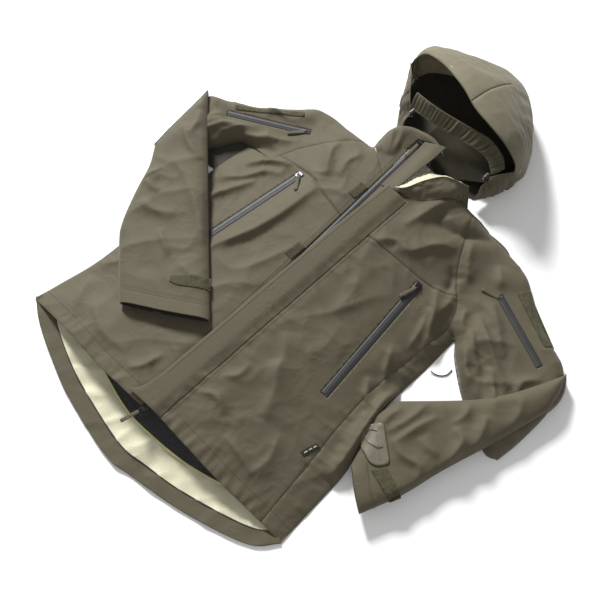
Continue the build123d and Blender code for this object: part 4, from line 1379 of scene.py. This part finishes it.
class Forearm:
    """A flattened sleeve: heights of its upper and lower layers over a sloping bed."""

    def __init__(self, bed, mouth, sides, folds, seed):
        self.bed = bed
        self.mouth = smooth(mouth)
        self.line = loop(mouth, *sides)
        self.rest = np.vstack([smooth(run) for run in sides])
        self.folds = folds
        self.seed = seed

    def top(self, x, y):
        """Height of the upper layer."""
        x, y = np.asarray(x, float), np.asarray(y, float)
        xy = np.column_stack([x, y])
        depth = away(xy, self.rest, False)
        rise = EDGE_MIDDLE + (FOREARM_HIGH - EDGE_MIDDLE) * roll(depth, FOREARM_ROLL)
        moved = crumple(x + self.seed, y, 0.8) + raised_folds(x, y, self.folds)
        cuff = ease(away(xy, self.mouth, False), 20, 60)
        return self.bed(x, y) + rise + moved * (0.25 + 0.75 * cuff) * ease(depth, 0, 10) - 1.0

    def bottom(self, x, y):
        """Height of the lower layer."""
        depth = away(np.column_stack([x, y]), self.rest, False)
        return self.bed(x, y) + EDGE_MIDDLE - (EDGE_MIDDLE - 0.6) * roll(depth, FOREARM_ROLL * 0.7) - 1.0

    def make(self, name, body, nodes):
        """Both layers as one sheet, joined along the folded edges."""
        verts, faces = fill(self.line)
        x, y = verts[:, 0], verts[:, 1]
        depth = away(verts, self.rest, False)
        shared = depth < 0.05
        band = away(verts, self.mouth, False)
        top = self.top(x, y) - 0.8 * np.exp(-(((band - 26) / 2.5) ** 2))
        low = self.bottom(x, y)
        number = np.full(len(verts), -1)
        number[~shared] = len(verts) + np.arange(int((~shared).sum()))
        lower = np.where(shared, np.arange(len(verts)), number)
        points = np.vstack([np.column_stack([verts, top]), np.column_stack([verts, low])[~shared]])
        all_faces = np.vstack([faces, lower[faces][:, ::-1]])
        # The inner side is the very dark copy of the shell cloth: painted shade inside the sleeve.
        piece = make(name, points, all_faces, [shell, shell_painted_shade])
        thicken(piece)
        finish_piece(piece, body, nodes)
        declare(self.line)
        return piece


right_forearm = Forearm(
    right_bed, RIGHT_MOUTH, [RIGHT_OUTER, RIGHT_FOLD_LINE, RIGHT_CREASE], RIGHT_FOREARM_FOLDS, 900.0
)
right_forearm.make("forearm_right_cloth", "right_forearm", ["sleeve_right_forearm"])
left_forearm = Forearm(
    left_bed, LEFT_MOUTH, [LEFT_OUTER, LEFT_FOLD_LINE, LEFT_CREASE, LEFT_INNER], LEFT_FOREARM_FOLDS, 1700.0
)
left_forearm.make("forearm_left_cloth", "left_forearm", ["sleeve_left_forearm"])
stitches("cuff_right_stitches", beside(RIGHT_MOUTH[::-1], 24), right_forearm.top, "right_forearm")
stitches("cuff_left_stitches", beside(LEFT_MOUTH, 24), left_forearm.top, "left_forearm")

RIGHT_CUFF_LOOP = [(-146, -137), (-97, -91), (-78, -108), (-100, -126), (-124, -143), (-138, -148)]
LEFT_CUFF_LOOP = [(318, -120), (335, -99), (384, -114), (375, -134)]
right_strip = rounded(RIGHT_CUFF_LOOP, 3)
left_strip = rounded(LEFT_CUFF_LOOP, 2)
pile_patch(
    "cuff_loop_right", right_strip, right_forearm.top, 1.4, loop_pile, "right_forearm", ["cuff_strip_right"]
)
pile_patch(
    "cuff_loop_left", left_strip, left_forearm.top, 1.4, loop_pile, "left_forearm", ["cuff_strip_left"]
)

CUFF_TAB = [(262, -78), (266, -62), (280, -51), (334, -91), (324, -108), (311, -114), (281, -105)]
tab_line = rounded(CUFF_TAB, 6)


def tab_top(x, y, edge):
    """The moulded tab lies on the cuff, its edge rounded off."""
    return left_forearm.top(x, y) + 1.4 + 1.8 * roll(edge + 0.3, 3.0)


tab = laid_sheet("cuff_tab", tab_line, tab_top, [tab_rubber], 1.6, step=3.0)
finish_piece(tab, "left_cuff_tab", ["cuff_tab_left"])
GRIP_RING = [(281, -68), (272, -74), (272, -84), (283, -90), (300, -88), (306, -80)]
tab_height = above(left_forearm.top, 3.0)
strip("cuff_tab_grip", GRIP_RING, 3.4, 1.5, tab_height, grip_rubber, "left_cuff_tab")
stitches("cuff_tab_stitches", [(322, -100), (300, -84), (286, -74)], tab_height, "left_cuff_tab")

BEND_LOW = 0.008        # heights, in metres, given with an elbow's bend line
BEND_HIGH = 0.030
WRAP_LOW = 1.5
WRAP_BULGE = 7.0
WRAP_INSET = 1.5        # the wrap starts this far inside the fold line, under the sleeves' edges


def elbow_wrap(name, line, bed, a, b):
    """The outside of a folded elbow, bent round from the upper arm to the forearm."""
    path = smooth(line, 4.0)
    ahead = np.gradient(path, axis=0)
    ahead /= np.linalg.norm(ahead, axis=1, keepdims=True)
    out = np.column_stack([ahead[:, 1], -ahead[:, 0]])
    ends = np.sin(np.pi * np.linspace(0, 1, len(path))) ** 0.5
    rows = []
    for turn in np.linspace(-90, 90, 13):
        push = math.cos(math.radians(turn))
        level = (math.sin(math.radians(turn)) + 1) / 2
        spots = path + out * (WRAP_BULGE * push * ends)[:, None] - out * WRAP_INSET
        high = bed(path[:, 0], path[:, 1]) + EDGE_MIDDLE + 1
        z = WRAP_LOW + (high - WRAP_LOW) * level
        z += 0.8 * ripple(path[:, 0], path[:, 1] + 40 * level, 16, 71.0)
        rows.append(np.column_stack([spots, z]))
    # The inner side is the very dark copy of the shell cloth: painted shade inside the fold.
    piece = grid_mesh(np.array(rows), name, [shell, shell_painted_shade])
    thicken(piece, CLOTH, 0.0)
    foot_x, foot_y = path[0] * MM
    return finish_piece(piece, a, (), (b, (foot_x, foot_y, BEND_LOW), (foot_x, foot_y, BEND_HIGH)))


elbow_wrap("elbow_right", RIGHT_FOLD_LINE, right_bed, "torso", "right_forearm")
elbow_wrap("elbow_left", LEFT_FOLD_LINE, left_bed, "left_upper_sleeve", "left_forearm")

left_under_line = loop(
    [(222, 330), (219, 240), (222, 152)],
    [(222, 152), (254, 148), (276, 124), (334, 83), (416, 44), (444, 50)],
    [(444, 50), (448, 97), (447, 165), (436, 205), (425, 235)],
    [(425, 235), (402, 251), (342, 272), (254, 326), (222, 330)],
)
right_under_line = loop(
    [(-222, 152), (-219, 240), (-222, 288)],
    [(-222, 288), (-268, 264), (-307, 229), (-360, 190), (-400, 165)],
    [(-400, 165), (-388, 110), (-378, 17)],
    [(-378, 17), (-340, 40), (-300, 66), (-262, 70), (-228, 52), (-205, 90), (-222, 152)],
)
under_layer("sleeve_left_under", left_under_line, "torso", 1.0, shell, SHOULDER_BEND)
# The right one takes the very dark copy of the shell cloth: painted shade in the gap between the arm and the
# torso.
under_layer("sleeve_right_under", right_under_line, "torso", 1.0, shell_painted_shade)

# ---------------------------------------------------------------- collar

RIGHT_COLLAR_OUTER = [
    (2, 377), (-27, 387), (-55, 384), (-79, 374), (-98, 360), (-105, 340), (-106, 322), (-107, 304),
]
COLLAR_SEAM = [(-107, 304), (zip_x(262) - ZIP_HALF, 262)]
collar_line = loop(
    [(zip_x(262) - ZIP_HALF, 262), (zip_x(360) - ZIP_HALF, 360)],
    [(zip_x(360) - ZIP_HALF, 360), (2, 377)],
    RIGHT_COLLAR_OUTER,
    COLLAR_SEAM,
)
collar_outer = smooth(RIGHT_COLLAR_OUTER)
COLLAR_FOLDS = [
    ([(-96, 346), (-80, 322), (-62, 298)], 5.0, 6, 10),
    ([(-78, 352), (-66, 326), (-56, 302)], 4.0, 6, 9),
    ([(-100, 322), (-92, 304), (-80, 290)], 4.0, 6, 8),
]


def collar_height(x, y):
    """The right half of the collar: it rises from the yoke and rolls over at its outer edge."""
    xy = np.column_stack([x, y])
    outer = away(xy, collar_outer, False)
    from_zip = np.abs(x - zip_x(y))
    rise = 10 * ease(y, 285, 352) * ease(from_zip, 14, 50) + 8 * ease(y, 360, 376)
    z = lie(x, y) + rise + raised_folds(x, y, COLLAR_FOLDS)
    return np.where(y > 262, z * (0.3 + 0.7 * roll(outer + 1.0, 20.0)), z)


collar = laid_sheet("collar_right_cloth", collar_line, grooved(collar_height), [shell, lining])
finish_piece(collar, "torso", ["collar_right", "shoulder_seams"])
declare(collar_line, fullness=1.6)

INNER_FLAP = loop(
    [(zip_x(251) + ZIP_HALF, 246), (-3, 246)],
    [(-3, 246), (0, 310), (3, 376)],
    [(3, 376), (zip_x(361) + ZIP_HALF, 361)],
    [(zip_x(361) + ZIP_HALF, 361), (zip_x(251) + ZIP_HALF, 246)],
)


def inner_flap_height(x, y, edge):
    """The edge is not used: this flap is as thick there as in its middle."""
    return arch(x, y) + 1.6 + 5.0 * ease(x - zip_x(y), 6, 34) + 4.0 * ease(y, 340, 376)


inner_flap = laid_sheet(
    "inner_flap_cloth", INNER_FLAP, inner_flap_height, [shell, lining], 1.8, step=3.5
)
finish_piece(inner_flap, "torso", ["inner_flap"])
declare(INNER_FLAP)

ACROSS = 60             # columns of the collar's and the hood's sheets


def rows_of(*curves, count=ACROSS):
    """Curves with the same number of points each."""
    return [resample(smooth(curve, 3.0), count) for curve in curves]


def crumpled(grid, amount, size, seed, fade_rows=2, stretch=1.0):
    """Push a grid of points along its normals by soft noise that fades at its edges."""
    normal = normals_of(grid)
    high, wide = grid.shape[:2]
    push = np.zeros((high, wide))
    for i in range(high):
        for j in range(wide):
            p = grid[i, j]
            a = noise.noise(Vector((p[0] / size, p[1] / size, p[2] / size / stretch + seed)))
            b = noise.noise(Vector((p[0] / size * 2.3, p[1] / size * 2.3, p[2] / size / stretch + seed + 9)))
            push[i, j] = a + 0.5 * (1 - 2 * abs(b))
    rows = np.minimum(np.arange(high), np.arange(high)[::-1])
    fade = np.clip(rows / fade_rows, 0, 1)[:, None]
    return grid + normal * (push * amount * fade)[:, :, None]


def piece_from(grid, name, materials, body, nodes=(), thick=CLOTH, offset=0.0):
    """A finished piece of cloth from a grid of points."""
    piece = grid_mesh(grid, name, materials)
    thicken(piece, thick, offset)
    return finish_piece(piece, body, nodes)


def sheet_grid(curves, count):
    """A grid of points: cross curves joined smoothly, a given number of rows."""
    curves = np.array(curves, float)
    columns = [resample(smooth(curves[:, j], 3.0), count) for j in range(curves.shape[1])]
    return np.array(columns).transpose(1, 0, 2)


RIM = [(-8, 255, 64), (10, 266, 72), (24, 299, 75), (40, 327, 75), (58, 338, 75), (84, 348, 72)]
RIM_FOOT = [(-12, 249), (10, 258), (34, 266), (52, 282), (72, 314), (98, 341)]
foot = np.array(RIM_FOOT, float)
foot_z = np.maximum(lie(foot[:, 0], foot[:, 1]) - 1.0, 1.0)
OUTER_FOOT = [(x, y, z) for (x, y), z in zip(RIM_FOOT, foot_z)]
OUTER_MIDDLE = [
    ((a[0] + b[0]) / 2 + 2, (a[1] + b[1]) / 2 - 2, (a[2] + b[2]) / 2 + 2) for a, b in zip(RIM, OUTER_FOOT)
]
LINING_FOOT = [(-14, 258, 54), (-16, 300, 42), (-8, 338, 38), (14, 342, 36), (40, 350, 38), (78, 356, 48)]
LINING_MIDDLE = [
    ((a[0] + b[0]) / 2, (a[1] + b[1]) / 2, (a[2] + b[2]) / 2 - 2) for a, b in zip(RIM, LINING_FOOT)
]
collar_outside = crumpled(sheet_grid(rows_of(RIM, OUTER_MIDDLE, OUTER_FOOT), 18), 3.2, 26.0, 81.0)
leaf = piece_from(collar_outside, "collar_left_cloth", [shell], "torso", ["collar_left"], 1.4)
collar_inside = crumpled(sheet_grid(rows_of(RIM, LINING_MIDDLE, LINING_FOOT), 22), 2.6, 18.0, 83.0)
leaf_lining = piece_from(collar_inside, "collar_left_lining", [lining], "torso", (), 0.8)


def tube(name, points, radius, material, body, nodes=()):
    """A round cord or binding through points in space."""
    path = smooth([tuple(p) for p in points], 2.5)
    ahead = np.gradient(path, axis=0)
    ahead /= np.linalg.norm(ahead, axis=1, keepdims=True)
    side = np.cross(ahead, (0.0, 0.0, 1.0))
    side /= np.maximum(np.linalg.norm(side, axis=1, keepdims=True), 1e-6)
    up = np.cross(side, ahead)
    rows = []
    for turn in np.linspace(0, 2 * math.pi, 9):
        rows.append(path + radius * (math.cos(turn) * side + math.sin(turn) * up))
    piece = grid_mesh(np.array(rows), name, [material])
    return finish_piece(piece, body, nodes)


tube("collar_rim_binding", RIM, 1.1, shell, "torso")
tube(
    "collar_back_binding",
    [(-12, 352, 41), (2, 342, 42), (20, 340, 43), (38, 346, 46), (58, 352, 52), (76, 352, 60)],
    1.8,
    dark_piping,
    "torso",
)

# ---------------------------------------------------------------- hood

BRIM = [
    (-170, 462, 14), (-175, 474, 48), (-162, 487, 78), (-131, 478, 108), (-95, 468, 126), (-62, 455, 140),
    (-30, 444, 146), (6, 430, 147), (43, 424, 146), (78, 423, 136), (104, 425, 114), (116, 430, 84),
    (114, 432, 48), (110, 428, 14),
]
CROWN_LINE = [
    (-174, 476, 12), (-178, 500, 46), (-152, 516, 80), (-112, 512, 106), (-70, 508, 118), (-32, 518, 117),
    (0, 530, 113), (30, 514, 114), (60, 490, 117), (88, 470, 112), (110, 455, 98), (122, 446, 72),
    (121, 442, 40), (113, 434, 12),
]
BETWEEN = [
    (-173, 470, 12), (-177, 487, 50), (-160, 503, 84), (-124, 497, 112), (-86, 490, 128), (-50, 484, 138),
    (-14, 482, 140), (22, 474, 140), (52, 460, 138), (84, 448, 128), (108, 441, 108), (120, 438, 78),
    (118, 437, 44), (112, 431, 12),
]
BEHIND = [
    (-174, 482, 8), (-174, 510, 32), (-150, 532, 52), (-114, 546, 66), (-76, 560, 72), (-32, 578, 66),
    (8, 576, 64), (42, 554, 66), (76, 522, 70), (102, 490, 66), (122, 462, 54), (124, 450, 34),
    (119, 444, 22), (113, 436, 8),
]
FLOOR_LINE = [
    (-170, 484, 3), (-164, 512, 3), (-142, 534, 3), (-112, 552, 3), (-76, 570, 3), (-32, 588, 3),
    (8, 585, 3), (42, 563, 3), (74, 532, 3), (98, 498, 3), (114, 470, 3), (116, 456, 3),
    (114, 446, 3), (111, 436, 3),
]
HOOD_ACROSS = 110
HOOD_DOWN = 64
hood_grid = sheet_grid(rows_of(BRIM, BETWEEN, CROWN_LINE, BEHIND, FLOOR_LINE, count=HOOD_ACROSS), HOOD_DOWN)
outward = normals_of(hood_grid)
if outward[HOOD_DOWN // 3, HOOD_ACROSS // 2][2] < 0:
    outward = -outward
ridge_row = int(HOOD_DOWN * 0.47)
seam_column = int(HOOD_ACROSS * 0.53)
hood_rows = np.arange(HOOD_DOWN)[:, None]
rows_away = np.abs(hood_rows - ridge_row)
columns_away = np.abs(np.arange(HOOD_ACROSS)[None, :] - seam_column)
# The ridge stands up with a groove along it. A seam runs from it to the brim, beside three faint folds.
shape = 1.6 * np.exp(-((rows_away / 2.2) ** 2)) - 1.0 * np.exp(-((rows_away / 0.7) ** 2))
shape = shape - 0.9 * np.exp(-((columns_away / 0.8) ** 2)) * (hood_rows < ridge_row)
for share in (0.45, 0.62, 0.8):
    row = int(ridge_row * share)
    shape = shape + 0.8 * np.exp(-(((hood_rows - row) / 1.1) ** 2))
hood_outside = crumpled(hood_grid, 2.2, 60.0, 91.0, 3) + outward * shape[:, :, None]


def hood_part(name, rows, columns, nodes):
    """One panel cut out of the hood's grid."""
    part = hood_outside[rows[0] : rows[1] + 1, columns[0] : columns[1] + 1]
    # The hood's panels take the lighter copy of the shell cloth: painted light.
    piece = piece_from(part, name, [hood_shell_painted_light], "hood", nodes, 1.5)


hood_part("hood_top_right", (0, ridge_row), (0, seam_column), ["hood_right_panel"])
hood_part("hood_top_left", (0, ridge_row), (seam_column, HOOD_ACROSS - 1), ["hood_left_panel"])
hood_part("hood_crown", (ridge_row, HOOD_DOWN - 1), (0, HOOD_ACROSS - 1), ["hood_centre_panel"])
depth = (5.0 + 5.0 * ease(hood_rows, 2, 14)) * np.clip(hood_rows / 4, 0.3, 1)
hood_inside = crumpled(hood_grid - outward * depth[:, :, None], 9.0, 48.0, 95.0, 6)
# The inside of the hood takes a lightened copy of the shell cloth: painted light against the shade in its
# hollow.
inside_cloth = piece_from(hood_inside, "hood_inside_cloth", [hood_inside_painted_light], "hood", (), 0.8)
brim_path = hood_outside[0][::4]
tube("hood_brim_binding", brim_path, 1.1, shell, "hood", ["hood_peak"])

CHEEKS = {
    "right": (
        [(-172, 464, 62), (-152, 446, 68), (-128, 420, 64), (-104, 394, 54)],
        [(-174, 462, 34), (-152, 436, 38), (-130, 408, 38), (-106, 382, 34)],
        [(-170, 462, 4), (-150, 430, 4), (-132, 402, 5), (-108, 370, 8)],
    ),
    "left": (
        [(114, 432, 64), (110, 420, 68), (100, 408, 64), (90, 396, 56)],
        [(118, 432, 34), (114, 412, 38), (104, 392, 40), (92, 374, 42)],
        [(110, 430, 4), (108, 408, 5), (100, 384, 8), (90, 362, 14)],
    ),
}
for side, curves in CHEEKS.items():
    cheek = crumpled(sheet_grid(rows_of(*curves, count=44), 26), 7.0, 24.0, 97.0, 2, 3.0)
    nodes = ["hood_cheeks"] if side == "right" else []
    cheek_piece = piece_from(cheek, f"hood_cheek_{side}", [shell], "hood", nodes, 1.4)

BAND_LOW = [
    (-106, 400, 54), (-72, 402, 57), (-38, 407, 58), (0, 414, 57),
    (39, 421, 58), (66, 419, 58), (90, 404, 55),
]
BAND_MIDDLE = [
    (-110, 410, 64), (-74, 412, 68), (-38, 417, 67), (2, 426, 66),
    (42, 432, 67), (76, 428, 67), (97, 411, 65),
]
BAND_HIGH = [
    (-113, 421, 72), (-75, 419, 78), (-37, 426, 76), (5, 436, 74),
    (46, 442, 77), (82, 434, 76), (102, 419, 74),
]
BAND_ACROSS = 150
BAND_DOWN = 14
RUFFLE_HIGH = 6.0


def ruffle(column):
    """How far the gathered band stands out at one of its columns."""
    wide = noise.noise(Vector((column / 3.1, 0.3, 3.0)))
    return wide + 0.5 * noise.noise(Vector((column / 1.4, 0.3, 7.0)))


band = sheet_grid(rows_of(BAND_LOW, BAND_MIDDLE, BAND_HIGH, count=BAND_ACROSS), BAND_DOWN)
ruffles = np.array([ruffle(column) for column in range(BAND_ACROSS)])
swell = np.sin(np.pi * np.linspace(0.12, 0.88, BAND_DOWN))[:, None]
band = band + normals_of(band) * (ruffles[None, :] * swell * RUFFLE_HIGH)[:, :, None]
band_piece = piece_from(band, "hood_band_cloth", [shell], "hood", ["hood_band"], 1.4)
tube("hood_band_low_edge", BAND_LOW, 1.3, shell, "hood")
tube("hood_band_high_edge", BAND_HIGH, 1.4, shell, "hood")

NECK_BEND = ("hood", (0.0, 0.362, 0.005), (0.0, 0.405, 0.005))
patch_line = loop(
    [(-54, 370), (-20, 366), (18, 358), (50, 378), (88, 400)],
    [(88, 400), (80, 424), (40, 440), (-50, 424)],
    [(-50, 424), (-56, 396), (-54, 370)],
)


def neck_patch_height(x, y, edge):
    """The patch climbs from the collar into the hood."""
    return 8 + 30 * ease(y, 356, 430) + 1.2 * ripple(x, y, 30, 99.0)


neck_patch = laid_sheet("neck_patch_cloth", patch_line, neck_patch_height, [brushed], 1.2)
finish_piece(neck_patch, "torso", ["neck_patch"], NECK_BEND)
declare(patch_line)

nape_line = loop(
    [(-104, 374), (-60, 362), (50, 362), (88, 372)],
    [(88, 372), (108, 408), (111, 436), (114, 470), (98, 498), (74, 532), (42, 563), (8, 585), (-32, 588)],
    [(-32, 588), (-76, 570), (-112, 552), (-142, 534), (-164, 512), (-170, 484), (-170, 462)],
    [(-170, 462), (-150, 430), (-132, 402), (-104, 374)],
)


def nape_height(x, y, edge):
    """The hood's back lies on the floor and swells away from its edge."""
    return 1.6 + ease(edge, 0, 26) * (5 + 4 * ripple(x, y, 44, 101.0))


# The hood's back takes the very dark copy of the shell cloth: painted shade inside the hood.
nape = laid_sheet("hood_nape_cloth", nape_line, nape_height, [shell_painted_shade], 1.0, step=6.0)
finish_piece(nape, "torso", ["hood_back"], NECK_BEND)
declare(nape_line)


# ---------------------------------------------------------------- CAD pieces that stay


def paint(node, material):
    """Give a CAD piece that stays a material of its own."""
    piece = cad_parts[node]
    piece.data.materials.clear()
    piece.data.materials.append(material)


for name in ("main_top", "main_bottom", "pocket_left", "pocket_right", "sleeve_left", "sleeve_right"):
    paint(f"slider_{name}", black_metal)
for node in ("hood_cord_locks", "lock_button_left", "lock_button_right"):
    paint(node, black_plastic)
for node in ("pocket_bag_left", "pocket_bag_right"):
    paint(node, mesh_cloth)
